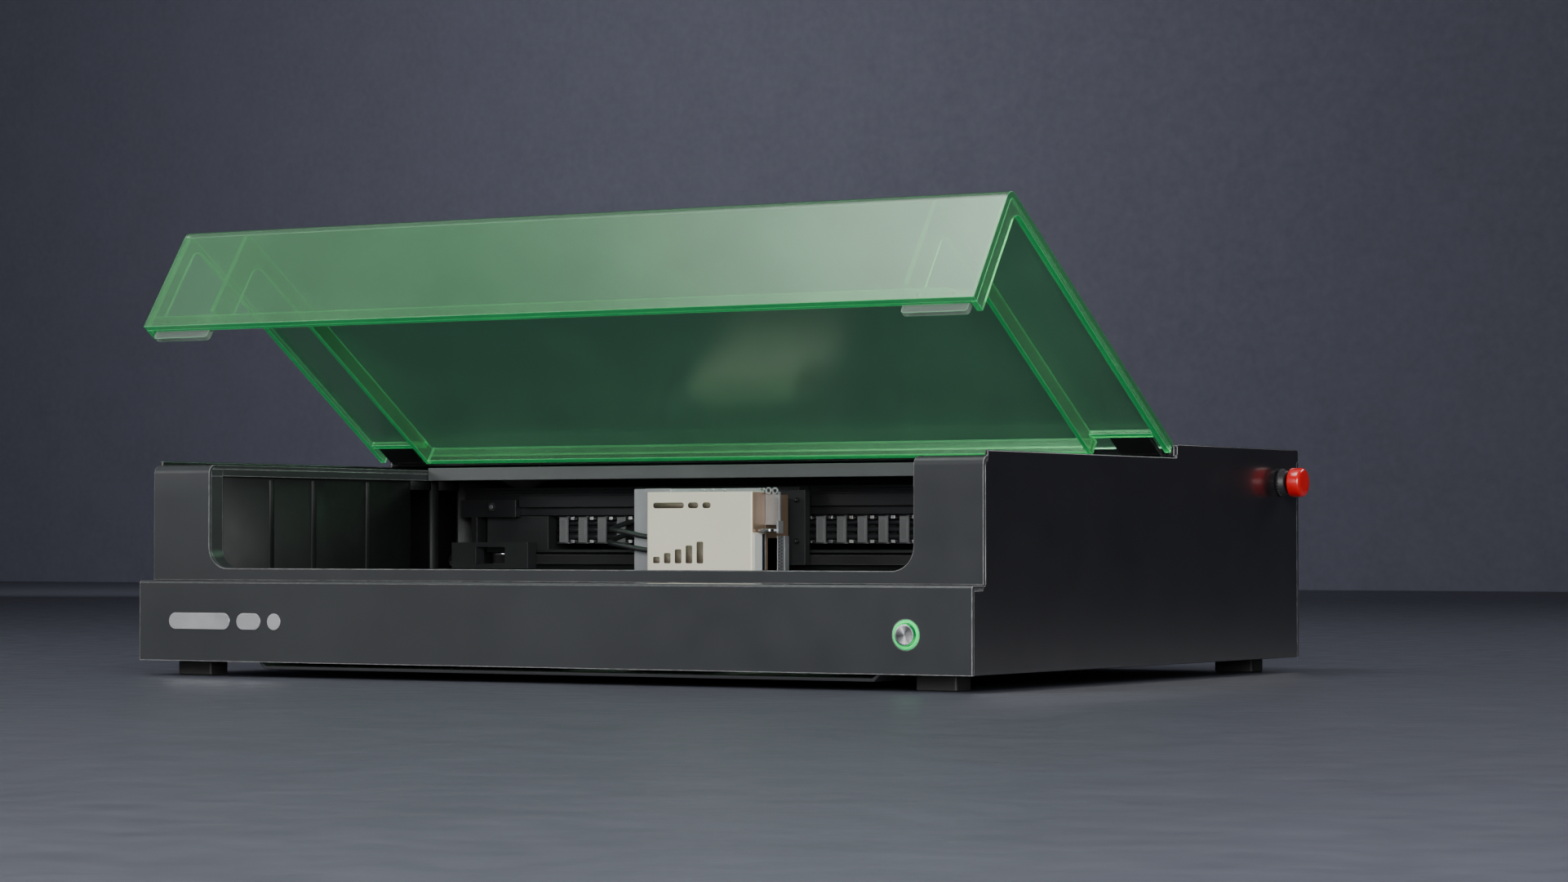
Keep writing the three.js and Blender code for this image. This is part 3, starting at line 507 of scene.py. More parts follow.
def soften(made, bevel, segments=2, clamp=False):
    """Smooth shading with small rounded edges."""
    made.data.shade_smooth()
    if not bevel:
        return
    rounding = made.modifiers.new("edges", "BEVEL")
    rounding.width = bevel * MM
    rounding.segments = segments
    rounding.limit_method = "ANGLE"
    rounding.angle_limit = math.radians(32)
    rounding.use_clamp_overlap = clamp
    rounding.harden_normals = True
    rounding.miter_outer = "MITER_ARC"


def refined(node, slot, bevel, segments=2, finish=None):
    """The CAD node's own shape and its finish, standing for the node; a bevel of 0 keeps edges sharp."""
    source = frame["nodes"][node]
    mesh = bmesh.new()
    mesh.from_mesh(source.data)
    bmesh.ops.remove_doubles(mesh, verts=mesh.verts, dist=2e-6)
    if bevel:
        bmesh.ops.dissolve_limit(mesh, angle_limit=math.radians(0.6), verts=mesh.verts, edges=mesh.edges)
    data = bpy.data.meshes.new(f"{node}_shape")
    mesh.to_mesh(data)
    mesh.free()
    if "custom_normal" in data.attributes:
        data.attributes.remove(data.attributes["custom_normal"])
    data.materials.clear()
    data.materials.append(finish or FINISH[slot])
    made = bpy.data.objects.new(f"{node}_shape", data)
    bpy.context.scene.collection.objects.link(made)
    soften(made, bevel, segments, clamp=True)
    if not bevel:
        data.set_sharp_from_angle(angle=math.radians(30))
    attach(made, source["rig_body"])
    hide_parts(node)
    return made


# ---------------------------------------------------------------- enclosure
NOSE = 7.0
SHEET = 3.0
WINDOW_RADIUS = 18.0
SILL_RISE = 9.7


def upper_shell():
    """Folded upper front: posts and sill round the window, carried over a round nose to the tops."""
    piece = Piece("upper_shell")
    cover_low, cover_high = span("top_cover_right")
    inner = cover_low.x - MIDDLE
    front, back = FRAME_LOW.y, cover_high.y
    bottom, top = FRAME_LOW.z, FRAME_HIGH.z
    sill = bottom + SILL_RISE
    corner = sill + WINDOW_RADIUS

    def edge(z):
        """Half width of the window at a height."""
        if z >= corner:
            return inner
        rise = corner - z
        return inner - WINDOW_RADIUS + math.sqrt(max(0.0, WINDOW_RADIUS ** 2 - rise ** 2))

    arc_levels = [corner - WINDOW_RADIUS * math.cos(math.radians(a)) for a in range(0, 91, 10)]
    column = [(front, z, edge(z), HALF) for z in arc_levels]
    column.append((front, top - NOSE - 20, inner, HALF))
    nose = arc((front + NOSE, top - NOSE), NOSE, 180, 90, 8)
    column += [(y, z, inner, HALF) for y, z in nose]
    side_sheet = cover_high.x - MIDDLE
    tops = [(front + NOSE, top, inner, side_sheet), (back, top, inner, side_sheet)]
    mesh = piece.mesh
    for side, _ in SIDES:
        for strip in (column, tops):
            rows = [[mesh.verts.new((MIDDLE + side * x, y, z)) for x in (near, far)]
                    for y, z, near, far in strip]
            for low, high in zip(rows, rows[1:]):
                mesh.faces.new((low[0], low[1], high[1], high[0]))
    low_in = edge(sill)
    sill_x = [-HALF, -low_in, low_in, HALF]
    rows = [[mesh.verts.new((MIDDLE + x, front, z)) for x in sill_x] for z in (bottom, sill)]
    for i in range(3):
        mesh.faces.new((rows[0][i], rows[0][i + 1], rows[1][i + 1], rows[1][i]))
    bmesh.ops.remove_doubles(mesh, verts=mesh.verts, dist=0.01)
    bmesh.ops.recalc_face_normals(mesh, faces=mesh.faces)
    for face in mesh.faces:
        outward = face.calc_center_median() - Vector((MIDDLE, back, bottom))
        if face.normal.dot(Vector((0, outward.y, outward.z))) < 0:
            face.normal_flip()
    piece.paint(mesh.faces, FINISH["grey_coat"])
    made = piece.loose(0)
    wall = made.modifiers.new("wall", "SOLIDIFY")
    wall.thickness = 0.97 * SHEET * MM
    wall.offset = -1
    soften(made, 0.55, 3)
    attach(made, "enclosure")
    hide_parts("front_frame", "top_cover_left", "top_cover_right")


def window_return():
    """Inner return of the window, carried down beside the chamber as the rim of the top covers."""
    piece = Piece("window_return")
    cover_low, cover_high = span("top_cover_right")
    inner = cover_low.x - MIDDLE
    sheet = 1.8
    depth = (FRAME_HIGH.y - 0.6, FRAME_LOW.y + 17)
    sill = FRAME_LOW.z + SILL_RISE
    top = FRAME_HIGH.z - SHEET
    radius = WINDOW_RADIUS
    left, right = MIDDLE - inner, MIDDLE + inner
    path = filleted([(left, top), (left, sill, radius), (right, sill, radius), (right, top)], 10)
    grown = radius + sheet
    outer = filleted([(left - sheet, top), (left - sheet, sill - sheet, grown),
                      (right + sheet, sill - sheet, grown), (right + sheet, top)], 10)
    piece.prism(Y, path + outer[::-1], depth, FINISH["grey_coat"])
    for side, _ in SIDES:
        piece.box(both(side, inner + 0.01, inner + sheet), (FRAME_HIGH.y, cover_high.y),
                  (cover_low.z, top), FINISH["grey_coat"])
    piece.done("enclosure", "grey_coat", bevel=0.35)


def case_shell():
    """Side sheets that step up to the deck at the back, and the deck folded between them."""
    piece = Piece("case_shell")
    gloss = FINISH["black_gloss"]
    deck_low, deck_high = span("rear_deck")
    shelf = span("front_lower_panel")[1]
    gap = 0.3
    under = NOSE - SHEET - gap
    nose_y, nose_z = FRAME_LOW.y + NOSE, FRAME_HIGH.z - NOSE
    start = FRAME_HIGH.y + gap
    for _, word in SIDES:
        low, high = span(f"side_panel_{word}")
        corners = [
            (low.y, low.z), (high.y, low.z), (high.y, high.z), (deck_high.y, high.z),
            (deck_high.y, deck_high.z, 2.5), (deck_low.y, deck_high.z, 2.5), (deck_low.y, high.z, 3),
            (nose_y + gap, high.z), *arc((nose_y, nose_z), under, 90, 180, 6), (start, nose_z),
            (start, shelf.z), (FRAME_LOW.y, shelf.z), (FRAME_LOW.y, shelf.z - SHEET - gap),
            (low.y, shelf.z - SHEET - gap)]
        piece.prism(X, filleted(corners), (low.x, high.x), gloss)
    channel = filleted([
        (deck_low.y, deck_low.z), (deck_low.y, deck_high.z, 2.5), (deck_high.y, deck_high.z, 2.5),
        (deck_high.y, deck_low.z), (deck_high.y - SHEET, deck_low.z),
        (deck_high.y - SHEET, deck_high.z - SHEET), (deck_low.y + SHEET, deck_high.z - SHEET),
        (deck_low.y + SHEET, deck_low.z)])
    piece.prism(X, channel, (deck_low.x + SHEET, deck_high.x - SHEET), gloss)
    piece.done("enclosure", "black_gloss", ["side_panel_left", "side_panel_right", "rear_deck"],
               bevel=1.0, segments=3)


def badge():
    """Generic raised mark at the left of the lower panel: a long pill, a short pill and a dot."""
    piece = Piece("front_badge")
    low, _ = span("front_lower_panel")
    z0, z1 = low.z + 25.5, low.z + 38.5
    radius = (z1 - z0) / 2 - 0.01
    left = low.x + 31
    for start, stop in ((0, 62), (69, 93), (100, 113)):
        outline = rounded_box(left + start, left + stop, z0, z1, radius, 8)
        piece.prism(Y, outline, (low.y - 0.5, low.y + 0.4), BADGE_SILVER)
    piece.done("enclosure", "button_steel", bevel=0.2)


def foot(node):
    """Square block foot with a softened lower edge."""
    piece = Piece(f"{node}_rubber")
    low, high = span(node)
    rings = []
    for inset, z in ((0.9, low.z), (0.0, low.z + 0.9), (0.0, high.z)):
        outline = rounded_box(low.x + inset, high.x - inset, low.y + inset, high.y - inset, 2, 5)
        rings.append([(x, y, z) for x, y in outline])
    piece.solid(rings, FINISH["rubber_black"])
    piece.done("enclosure", "rubber_black", [node], bevel=0.3)


# Chamber wall: x outwards from the middle, y from its front end, z from its bottom edge.
WALL_FACES = (328, 330.5)
WALL_SLOTS = ((269.7, 299.7), (310.7, 340.7))
SLOT_HEIGHTS = (69.2, 137.2)
RIB_FACES = (327, 328.2)
RIB_STARTS = (76.2, 132.2, 206.2)
RIB_WIDTH = 6
RIB_TOP = 143.2


def inner_wall(side, word):
    """Chamber wall in panels round its two tall slots, with ribs; the left one holds an axle."""
    piece = Piece(f"inner_wall_{word}_panels")
    node = f"inner_wall_{word}"
    low, high = span(node)
    x = both(side, *WALL_FACES)
    slots = [(low.y + start, low.y + stop) for start, stop in WALL_SLOTS]
    slot_z = [low.z + z for z in SLOT_HEIGHTS]
    stops = [low.y, *slots[0], *slots[1], high.y]
    for start, stop in zip(stops[::2], stops[1::2]):
        piece.box(x, (start, stop), (low.z, high.z), WALL_BLACK)
    for y in slots:
        piece.box(x, y, (low.z, slot_z[0]), WALL_BLACK)
        piece.box(x, y, (slot_z[1], high.z), WALL_BLACK)
    for start in RIB_STARTS:
        piece.box(both(side, *RIB_FACES), (low.y + start, low.y + start + RIB_WIDTH),
                  (slot_z[0], low.z + RIB_TOP), WALL_BLACK, 1.0, X)
    if side < 0:
        piece.rod(X, (low.y + 24.7, low.z + 23.2), 3.0, both(side, 293, 329), FINISH["rail_steel"])
    piece.done("enclosure", "dark_coat", [node], bevel=0)


def panel_screws():
    """Screws round the rear panel and on the hinge brackets."""
    piece = Piece("case_screws")
    low, high = span("rear_panel")
    for x in (low.x + 12, MIDDLE - 110, MIDDLE + 70, high.x - 12):
        for z in (low.z + 10, high.z - 10):
            piece.screw(Y, (x, z), high.y - 0.1, 1, 3.2, FINISH["hinge_black"])
    for _, word in SIDES:
        bracket_low, bracket_high = span(f"hinge_bracket_{word}")
        for x in (bracket_low.x + 4, bracket_high.x - 4):
            piece.screw(Z, (x, bracket_high.y - 2.3), bracket_low.z + 2.6, 1, 1.9)
    piece.done("enclosure", "hinge_black", bevel=0)


# ---------------------------------------------------------------- lid, built shut and turned open
def edge_lit(piece, faces, axis):
    """Gives the thin polished faces of an acrylic part the lit edge material, brighter and faintly glowing:
    painted light.
    """
    piece.mesh.normal_update()
    piece.paint([face for face in faces if abs(face.normal[axis]) < 0.5], ACRYLIC_LIT_EDGE)


def hang(piece, slot, replaces=(), bevel=0.4):
    """Turns a piece that was built shut to the lid's resting place, and finishes it."""
    piece.turn(LID_TURN)
    piece.done("lid", slot, replaces, bevel=bevel)


def lid_sheet():
    """One bent sheet: front and top joined by a round fold."""
    piece = Piece("lid_sheet")
    low, high = closed_span("lid_shell")
    sheet, outer = 5.0, 9.0
    inner = outer - sheet
    outline = filleted([
        (low.y, low.z), (low.y + sheet, low.z), (low.y + sheet, high.z - sheet, inner),
        (high.y, high.z - sheet), (high.y, high.z), (low.y, high.z, outer)], 10)
    faces = piece.prism(X, outline, (low.x, high.x), FINISH["green_acrylic"])
    piece.mesh.normal_update()
    # Foot rim: the lit edge copy, painted light; end and back rims: the darker copy, painted shade.
    for face in faces:
        middle = face.calc_center_median()
        if face.normal.z < -0.9 and middle.z < low.z + 0.1:
            piece.paint([face], ACRYLIC_LIT_EDGE)
        elif face.normal.z < -0.9:
            piece.paint([face], ACRYLIC_UNDER)
        elif face.normal.z > 0.9:
            piece.paint([face], ACRYLIC_TOP)
        elif abs(face.normal.x) > 0.5 or (face.normal.y > 0.9 and middle.y > high.y - 0.1):
            piece.paint([face], ACRYLIC_SHADED_RIM)
    hang(piece, "green_acrylic", ["lid_shell"], bevel=0.45)


STRIP_RISE = 12.0
RIB_BOTTOM = 164.0
FLANGE_END = 376.5


def lid_strip():
    """Stiffening strip glued along the bottom of the lid's front, sloped at its right end."""
    piece = Piece("lid_front_strip")
    low, high = closed_span("lid_shell")
    bottom, top = low.z + 0.4, low.z + STRIP_RISE
    left, right = low.x + 3, high.x - 3
    outline = filleted([
        (left, bottom), (right, bottom), (right, bottom + 2.5, 1.5), (right - 24, top, 12),
        (left, top)], 6)
    faces = piece.prism(Y, outline, (low.y + 5.2, low.y + 7.9), FINISH["green_acrylic"])
    edge_lit(piece, faces, Y)
    hang(piece, "green_acrylic", bevel=0.3)


def lid_l(piece, x, front, back, bottom, top, under, face, radius):
    """An L-shaped acrylic rib that follows the lid's front and top."""
    outline = filleted([
        (face, bottom), (front, bottom), (front, top, radius), (back, top), (back, under),
        (face, under, 4)], 8)
    faces = piece.prism(X, outline, x, FINISH["green_acrylic"])
    edge_lit(piece, faces, X)


def lid_cheek(word):
    """Outer acrylic rib on one side, in line with the lid's edge."""
    piece = Piece(f"lid_cheek_{word}_sheet")
    node = f"lid_cheek_{word}"
    low, high = closed_span(node)
    lid_l(piece, (low.x, high.x), low.y + 11.4, high.y, low.z, high.z - 4.2, high.z, low.y, 9)
    hang(piece, "green_acrylic", [node], bevel=0.35)


def lid_ribs():
    """Two inner ribs with the rear flange between them and short flanges outside them."""
    piece = Piece("lid_ribs_and_flange")
    low, high = closed_span("lid_rib_frame")
    rib_in, rib_out = 318.5, 322.5
    leg_front = low.y + 22.7
    flange = (high.y - 5, high.y)
    for side, _ in SIDES:
        lid_l(piece, both(side, rib_in, rib_out), leg_front, high.y, low.z, RIB_BOTTOM, high.z, low.y, 11)
        faces = piece.box(both(side, rib_out + 0.2, FLANGE_END), (high.y - 15, high.y - 10),
                          (high.z - 4.2, high.z), FINISH["green_acrylic"])
        edge_lit(piece, faces, Y)
    faces = piece.box((MIDDLE - rib_in + 0.2, MIDDLE + rib_in - 0.2), flange, (RIB_BOTTOM, high.z),
                      FINISH["green_acrylic"])
    edge_lit(piece, faces, Y)
    hang(piece, "green_acrylic", ["lid_rib_frame"], bevel=0.35)


def lid_pad(word):
    """Clear grey pad under the lid's front corner, with its two screws."""
    piece = Piece(f"lid_pad_{word}_moulded")
    node = f"lid_pad_{word}"
    low, high = closed_span(node)
    y0 = low.y + 2.8
    outline = filleted([
        (low.x, low.z, 3), (high.x, low.z, 3), (high.x, high.z), (low.x, high.z)], 5)
    piece.prism(Y, outline, (y0, high.y), FINISH["clear_grey_pad"])
    for x in (low.x + 13, high.x - 13):
        piece.screw(Y, (x, high.z - 6), high.y - 0.1, 1, 3.0, FINISH["hinge_black"])
        piece.rod(Y, (x, high.z - 6), 1.6, (y0 - 2.2, high.y - 0.2), FINISH["hinge_black"], 16)
    hang(piece, "clear_grey_pad", [node], bevel=0.4)


def hinge_leaf(word):
    """Moving hinge half: refined CAD leaf with two countersunk screws."""
    refined(f"hinge_leaf_{word}", "hinge_black", 0.35)
    low, high = closed_span(f"hinge_leaf_{word}")
    piece = Piece(f"hinge_leaf_{word}_screws")
    for x in (low.x + 8, high.x - 8):
        piece.screw(Z, (x, low.y + 9), low.z - 0.1 + 1.8, -1, 2.4)
    hang(piece, "hinge_black", bevel=0)


# ---------------------------------------------------------------- gantry
def beam():
    """Refined beam with end plugs and the small cam on the block at its left end."""
    refined("x_beam", "black_anodised", 0.35)
    low, high = span("x_beam")
    piece = Piece("beam_fittings")
    for x in (low.x + 0.4, high.x - 2.4):
        piece.box((x, x + 2), (low.y + 10.4, high.y - 3.4), (low.z + 3.4, high.z - 3.4),
                  FINISH["black_plastic"], 1.5, X)
    end_low, end_high = span("gantry_end_left")
    cam = (end_high.x - 24, low.z + 7.5)
    piece.prism(Y, circle(*cam, 4.2, 6), (end_low.y - 2.4, end_low.y + 0.6), FINISH["dark_coat"])
    piece.rod(Y, cam, 2.0, (end_low.y - 3.2, end_low.y), FINISH["lip_grey"], 18)
    piece.done("gantry", "black_anodised", bevel=0.25)


def tray():
    """Chain tray in its CAD shape, with a row of screws."""
    refined("chain_tray", "dark_coat", 0.4)
    low, _ = span("chain_tray")
    piece = Piece("chain_tray_details")
    for i in range(8):
        piece.screw(Z, (low.x + 60 + i * 72, low.y + 60), low.z + 38.0, -1, 2.2, FINISH["hinge_black"])
    piece.done("gantry", "dark_coat", bevel=0)


CHAIN_PITCH = 19.94
CHAIN_WIDTH = 18.0
FIRST_LINK = 12.9
LAST_GAP = 13
MOVING_END = 43    # from the carriage's right edge to the chain's moving end
CHAIN_CABLES = (111.5, 117.5, 123.5)


def chain():
    """Cable chain on edge, link by link; each link keeps its shape."""
    low, high = span("x_drag_chain")
    radius = (high.y - low.y) / 2 - CHAIN_WIDTH / 2
    middle = (low.y + high.y) / 2
    bend_x = high.x - radius - CHAIN_WIDTH / 2
    fixed, moving = low.x, span("carriage_plate")[1].x - MOVING_END
    front = bend_x - fixed
    turn = math.pi * radius
    back = bend_x - moving
    total = front + turn + back

    def place(s):
        """Centre, heading and share of the carriage's travel at a distance along the chain."""
        if s < front:
            return Vector((fixed + s, middle - radius)), 0.0, 0.5 * s / front
        if s < front + turn:
            angle = (s - front) / radius
            centre = Vector((bend_x + radius * math.sin(angle), middle - radius * math.cos(angle)))
            return centre, angle, 0.5
        rest = s - front - turn
        return Vector((bend_x - rest, middle + radius)), math.pi, 0.5 + 0.5 * rest / back

    count = int((total - FIRST_LINK - LAST_GAP) / CHAIN_PITCH) + 1
    for i in range(count):
        centre, heading, share = place(FIRST_LINK + i * CHAIN_PITCH)
        piece = Piece(f"chain_link_{i:02d}")
        chain_link(piece, low.z, high.z)
        piece.turn(Matrix.Translation((centre.x, centre.y, 0)) @ Matrix.Rotation(heading, 4, "Z"))
        made = piece.loose(0.25)
        share_travel(made)
        if i == 0:
            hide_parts("x_drag_chain")
    for k, z in enumerate(CHAIN_CABLES):
        piece = Piece(f"chain_cable_{k}")
        path = [(fixed + 1 + (bend_x - fixed) * i / 24, middle - radius + 0.4 * (k - 1), z)
                for i in range(25)]
        piece.tube(path, 2.5, CABLE_BLACK, 10)
        made = piece.loose(0)
        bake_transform(made)


def share_travel(made):
    """Bakes the piece's placement into its mesh; the piece stays on no body.
    """
    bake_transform(made)


def chain_link(piece, z0, z1):
    """One link about the origin, drawn along X: two lapped side plates, two crossbars, small lugs."""
    half = CHAIN_WIDTH / 2
    plastic = FINISH["black_plastic"]
    for bottom, into in ((z0, 1), (z1, -1)):
        outer = sorted((bottom, bottom + into * 1.5))
        inner = sorted((bottom + into * 1.7, bottom + into * 3.1))
        piece.prism(Z, rounded_box(-9.6, 7.0, -half, half, 5.5, 5), outer, plastic)
        piece.prism(Z, rounded_box(-2.0, 13.4, -half + 1.2, half - 1.2, 5.5, 5), inner, plastic)
        lug = sorted((bottom + into * 0.6, bottom + into * 3.4))
        piece.box((8.0, 11.6), (-half - 0.5, -half + 1.4), lug, BADGE_SILVER)
        piece.rod(Z, (9.8, 0), 2.6, sorted((bottom, bottom + into * 3.3)), plastic, 20)
    for face in (-1, 1):
        y = sorted((face * (half - 2.2), face * half))
        piece.box((-4.3, 4.3), y, (z0 + 1.0, z1 - 1.0), CHAIN_GREY)
        ridge = sorted((face * (half - 0.2), face * (half + 0.4)))
        piece.box((-2.9, 2.9), ridge, (z0 + 3.2, z1 - 3.2), CHAIN_GREY)


def toothed_pulley(node, axis, at_top=True):
    """Pulley with flanges and sixteen teeth at one end of its shaft; it is a body of its own."""
    piece = Piece(f"{node}_toothed")
    low, high = span(node)
    middle = (low + high) / 2
    others = [k for k in range(3) if k != axis]
    centre = [middle[k] for k in others]
    radius = (high[others[0]] - low[others[0]]) / 2
    ends = (high[axis] - 10, high[axis]) if at_top else (low[axis], low[axis] + 10)
    bore = 3.15
    alloy = FINISH["pulley_alloy"]
    for d0, d1 in ((ends[0], ends[0] + 0.8), (ends[1] - 0.8, ends[1])):
        piece.ring(axis, centre, bore, radius, (d0, d1), alloy)
    teeth = []
    for i in range(16):
        for offset, r in ((-7, radius - 1.4), (-5, radius - 0.7), (5, radius - 0.7), (7, radius - 1.4)):
            angle = math.radians(i * 22.5 + offset)
            teeth.append((centre[0] + r * math.cos(angle), centre[1] + r * math.sin(angle)))
    piece.prism(axis, teeth, (ends[0] + 0.8, ends[1] - 0.8), alloy)
    shaft = (low[axis], ends[0] + 1) if at_top else (ends[1] - 1, high[axis])
    if shaft[1] - shaft[0] > 2:
        piece.rod(axis, centre, 2.7, shaft, FINISH["rail_steel"], 20)
    piece.done(node, "pulley_alloy", [node], bevel=0.15)


TOOTH_STEP = 4.0


def toothed_belt(node, axis, body):
    """Belt loop in its CAD shape; a row of teeth stands on the inside of its straight runs."""
    refined(node, "rubber_black", 0.2)
    low, high = span(node)
    piece = Piece(f"{node}_teeth")
    length = X if axis == Z else Y
    across = Y if axis == Z else Z
    radius = (high[across] - low[across]) / 2
    start, stop = low[length] + radius + 2, high[length] - radius - 2
    count = int((stop - start) / TOOTH_STEP)
    for i in range(count):
        at = start + i * TOOTH_STEP
        for edge, into in ((low[across] + 1.1, 1), (high[across] - 1.1, -1)):
            spans = [None, None, None]
            spans[length] = (at - 0.6, at + 0.6)
            spans[across] = sorted((edge - 0.1, edge + into * 0.6))
            spans[axis] = (low[axis] + 0.3, high[axis] - 0.3)
            piece.box(*spans, FINISH["rubber_black"])
    piece.done(body, "rubber_black", bevel=0)


def motor(node, axis, body):
    """Stepper motor: dark end caps, a plated middle and four screws."""
    piece = Piece(f"{node}_detailed")
    low, high = span(node)
    others = [k for k in range(3) if k != axis]
    (a, b) = others
    length = high[axis] - low[axis]
    cap = length * 0.2
    inset = 0.6
    for d0, d1, shrink, material in (
            (low[axis], low[axis] + cap, 0.0, FINISH["motor_black"]),
            (low[axis] + cap, high[axis] - cap, inset, FINISH["supply_case"]),
            (high[axis] - cap, high[axis], 0.0, FINISH["motor_black"])):
        outline = filleted([
            (low[a] + shrink, low[b] + shrink, 4.5), (high[a] - shrink, low[b] + shrink, 4.5),
            (high[a] - shrink, high[b] - shrink, 4.5), (low[a] + shrink, high[b] - shrink, 4.5)], 3)
        piece.prism(axis, outline, (d0, d1), material)
    inner = high[axis] - 0.2 if axis == Z else low[axis] + 0.2
    out = 1 if axis == Z else -1
    for i in (-1, 1):
        for j in (-1, 1):
            centre = ((low[a] + high[a]) / 2 + i * 14.5, (low[b] + high[b]) / 2 + j * 14.5)
            piece.screw(axis, centre, inner - out * 1.4, out, 2.2)
    piece.done(body, "motor_black", [node], bevel=0.4)


def tensioner():
    """Refined block with its thumbscrew."""
    refined("tensioner_block", "lip_grey", 0.35, finish=FINISH["dark_coat"])
    low, _ = span("tensioner_block")
    piece = Piece("tensioner_screws")
    y = low.y + 6.3
    z = low.z + 7
    piece.rod(X, (y, z), 2.0, (low.x - 1, low.x + 1), SCREW_STEEL, 20)
    grip = []
    for i in range(48):
        angle = math.radians(i * 7.5)
        r = 4.8 + (0.3 if i % 2 else 0.0)
        grip.append((y + r * math.cos(angle), z + r * math.sin(angle)))
    piece.prism(X, grip, (low.x - 4.5, low.x - 0.6), FINISH["rail_steel"])
    piece.done("gantry", "lip_grey", bevel=0.2)


# ---------------------------------------------------------------- carriage and laser head
def carriage():
    """Refined carriage plate with its three screws."""
    refined("carriage_plate", "dark_coat", 0.5)
    low, high = span("carriage_plate")
    piece = Piece("carriage_screws")
    top = low.z + 62
    for x, z in ((high.x - 6, top - 8), (high.x - 6, top - 42), (high.x - 16, top - 8)):
        piece.screw(Y, (x, z), low.y + 0.1, -1, 2.1, FINISH["hinge_black"])
    piece.done("carriage", "dark_coat", bevel=0)


def head_cover():
    """Folded champagne cover with rounded front edges."""
    piece = Piece("head_cover")
    low, high = span("laser_front_cover")
    outline = filleted([
        (low.x, high.y), (low.x, low.y, 2.4), (high.x, low.y, 2.4), (high.x, high.y)], 6)
    piece.prism(Z, outline, (low.z, high.z), FINISH["champagne_cover"])
    piece.done("laser_head", "champagne_cover", ["laser_front_cover"], bevel=0.7, segments=3)


def cover_marks():
    """Generic printed marks on the cover: three pills and a five-bar level mark."""
    piece = Piece("head_cover_marks")
    low, high = span("laser_front_cover")
    ink = (low.y - 0.12, low.y + 0.2)
    left = low.x + 7
    bar_z = high.z - 11
    for start, stop in ((0, 30), (34, 44), (48, 56)):
        piece.prism(Y, rounded_box(left + start, left + stop, bar_z - 2.4, bar_z + 2.4, 2.3, 5), ink,
                    MARK_BRONZE)
    base = low.z + 31.5
    for i in range(5):
        x = left + i * 10.6
        piece.prism(Y, rounded_box(x, x + 6.4, base, base + 5.4 + i * 3.1, 1.2, 3), ink, MARK_BRONZE)
    piece.done("laser_head", "bronze_body", bevel=0)


def head_side():
    """Right side of the head: bronze cheek above; white panel, dark slot and strips below."""
    piece = Piece("head_side_panels")
    low, high = span("laser_front_cover")
    house_low, house_high = span("laser_housing")
    split = high.z - 33
    face = high.x
    bronze = FINISH["bronze_body"]
    piece.box((face - 0.6, face + 0.5), (low.y + 0.9, high.y), (split, high.z - 0.4), bronze)
    piece.box((face - 0.6, face + 0.5), (low.y + 2.6, low.y + 14.7), (low.z + 2, split - 1.4), WHITE_PANEL)
    piece.box((face - 1.2, face + 0.1), (low.y + 14.7, high.y), (low.z + 2, split - 1.4), NIGHT_BLUE)
    side = house_high.x
    piece.box((side - 2, side + 0.6), (low.y + 40, low.y + 49.6), (house_low.z + 4, split - 3),
              FINISH["light_plate"])
    for i in range(17):
        z = house_low.z + 6.5 + i * 2.7
        for y in (low.y + 43, low.y + 46.6):
            shift = 1.3 if y > low.y + 45 else 0
            piece.rod(X, (y, z + shift), 0.75, (side + 0.2, side + 0.75), FINISH["black_plastic"], 10, 0.1)
    piece.box((side - 2, side + 1.2), (low.y + 50.2, low.y + 57), (house_low.z + 4, split - 3),
              FINISH["light_plate"])
    piece.done("laser_head", "bronze_body", bevel=0.25)


def back_plate():
    """Light back plate, its tab with two ring screws and the row of small screws on top."""
    refined("laser_back_plate", "light_plate", 0.4)
    _, high = span("laser_back_plate")
    cover_low, cover_high = span("laser_front_cover")
    piece = Piece("back_plate_screws")
    top = cover_high.z + 0.6
    for x in (cover_high.x + 4.5, cover_high.x + 10.5):
        piece.ring(Y, (x, top), 1.5, 3.0, (high.y - 4.4, high.y - 2.4), SCREW_STEEL, 24)
        piece.rod(Y, (x, top), 1.4, (high.y - 3.4, high.y - 2.5), FINISH["black_plastic"], 16, 0.1)
    for x in (cover_low.x + 44, cover_low.x + 53, cover_low.x + 64, cover_high.x - 3, cover_high.x + 0.4):
        piece.rod(Y, (x, top + 1.2), 1.2, (high.y - 4.6, high.y - 2.6), SCREW_STEEL, 14, 0.2)
    piece.box((cover_low.x - 12, cover_low.x + 13), (high.y - 5.4, high.y - 2.8),
              (cover_high.z - 0.6, cover_high.z + 3.2), FINISH["light_plate"], 0.8, Y)
    piece.done("laser_head", "light_plate", bevel=0.2)


def nozzle():
    """Knurled nozzle with a tapered tip."""
    piece = Piece("laser_nozzle_turned")
    low, high = span("laser_nozzle")
    centre = ((low.x + high.x) / 2, (low.y + high.y) / 2)
    radius = (high.x - low.x) / 2
    profile = [(2.5, low.z), (radius / 2, low.z), (radius / 2 + 0.6, low.z + 0.8), (radius - 2, low.z + 8),
               (radius, low.z + 8.4), (radius, high.z - 0.4), (radius - 0.4, high.z), (2.5, high.z)]
    piece.lathe(Z, centre, profile, FINISH["rail_steel"], 48, loop=True)
    for i in range(36):
        angle = math.radians(i * 10)
        spot_xy = (centre[0] + radius * math.cos(angle), centre[1] + radius * math.sin(angle))
        piece.rod(Z, spot_xy, 0.45, (low.z + 9.2, high.z - 0.8), FINISH["rail_steel"], 6, 0.1)
    piece.done("laser_head", "rail_steel", ["laser_nozzle"], bevel=0)


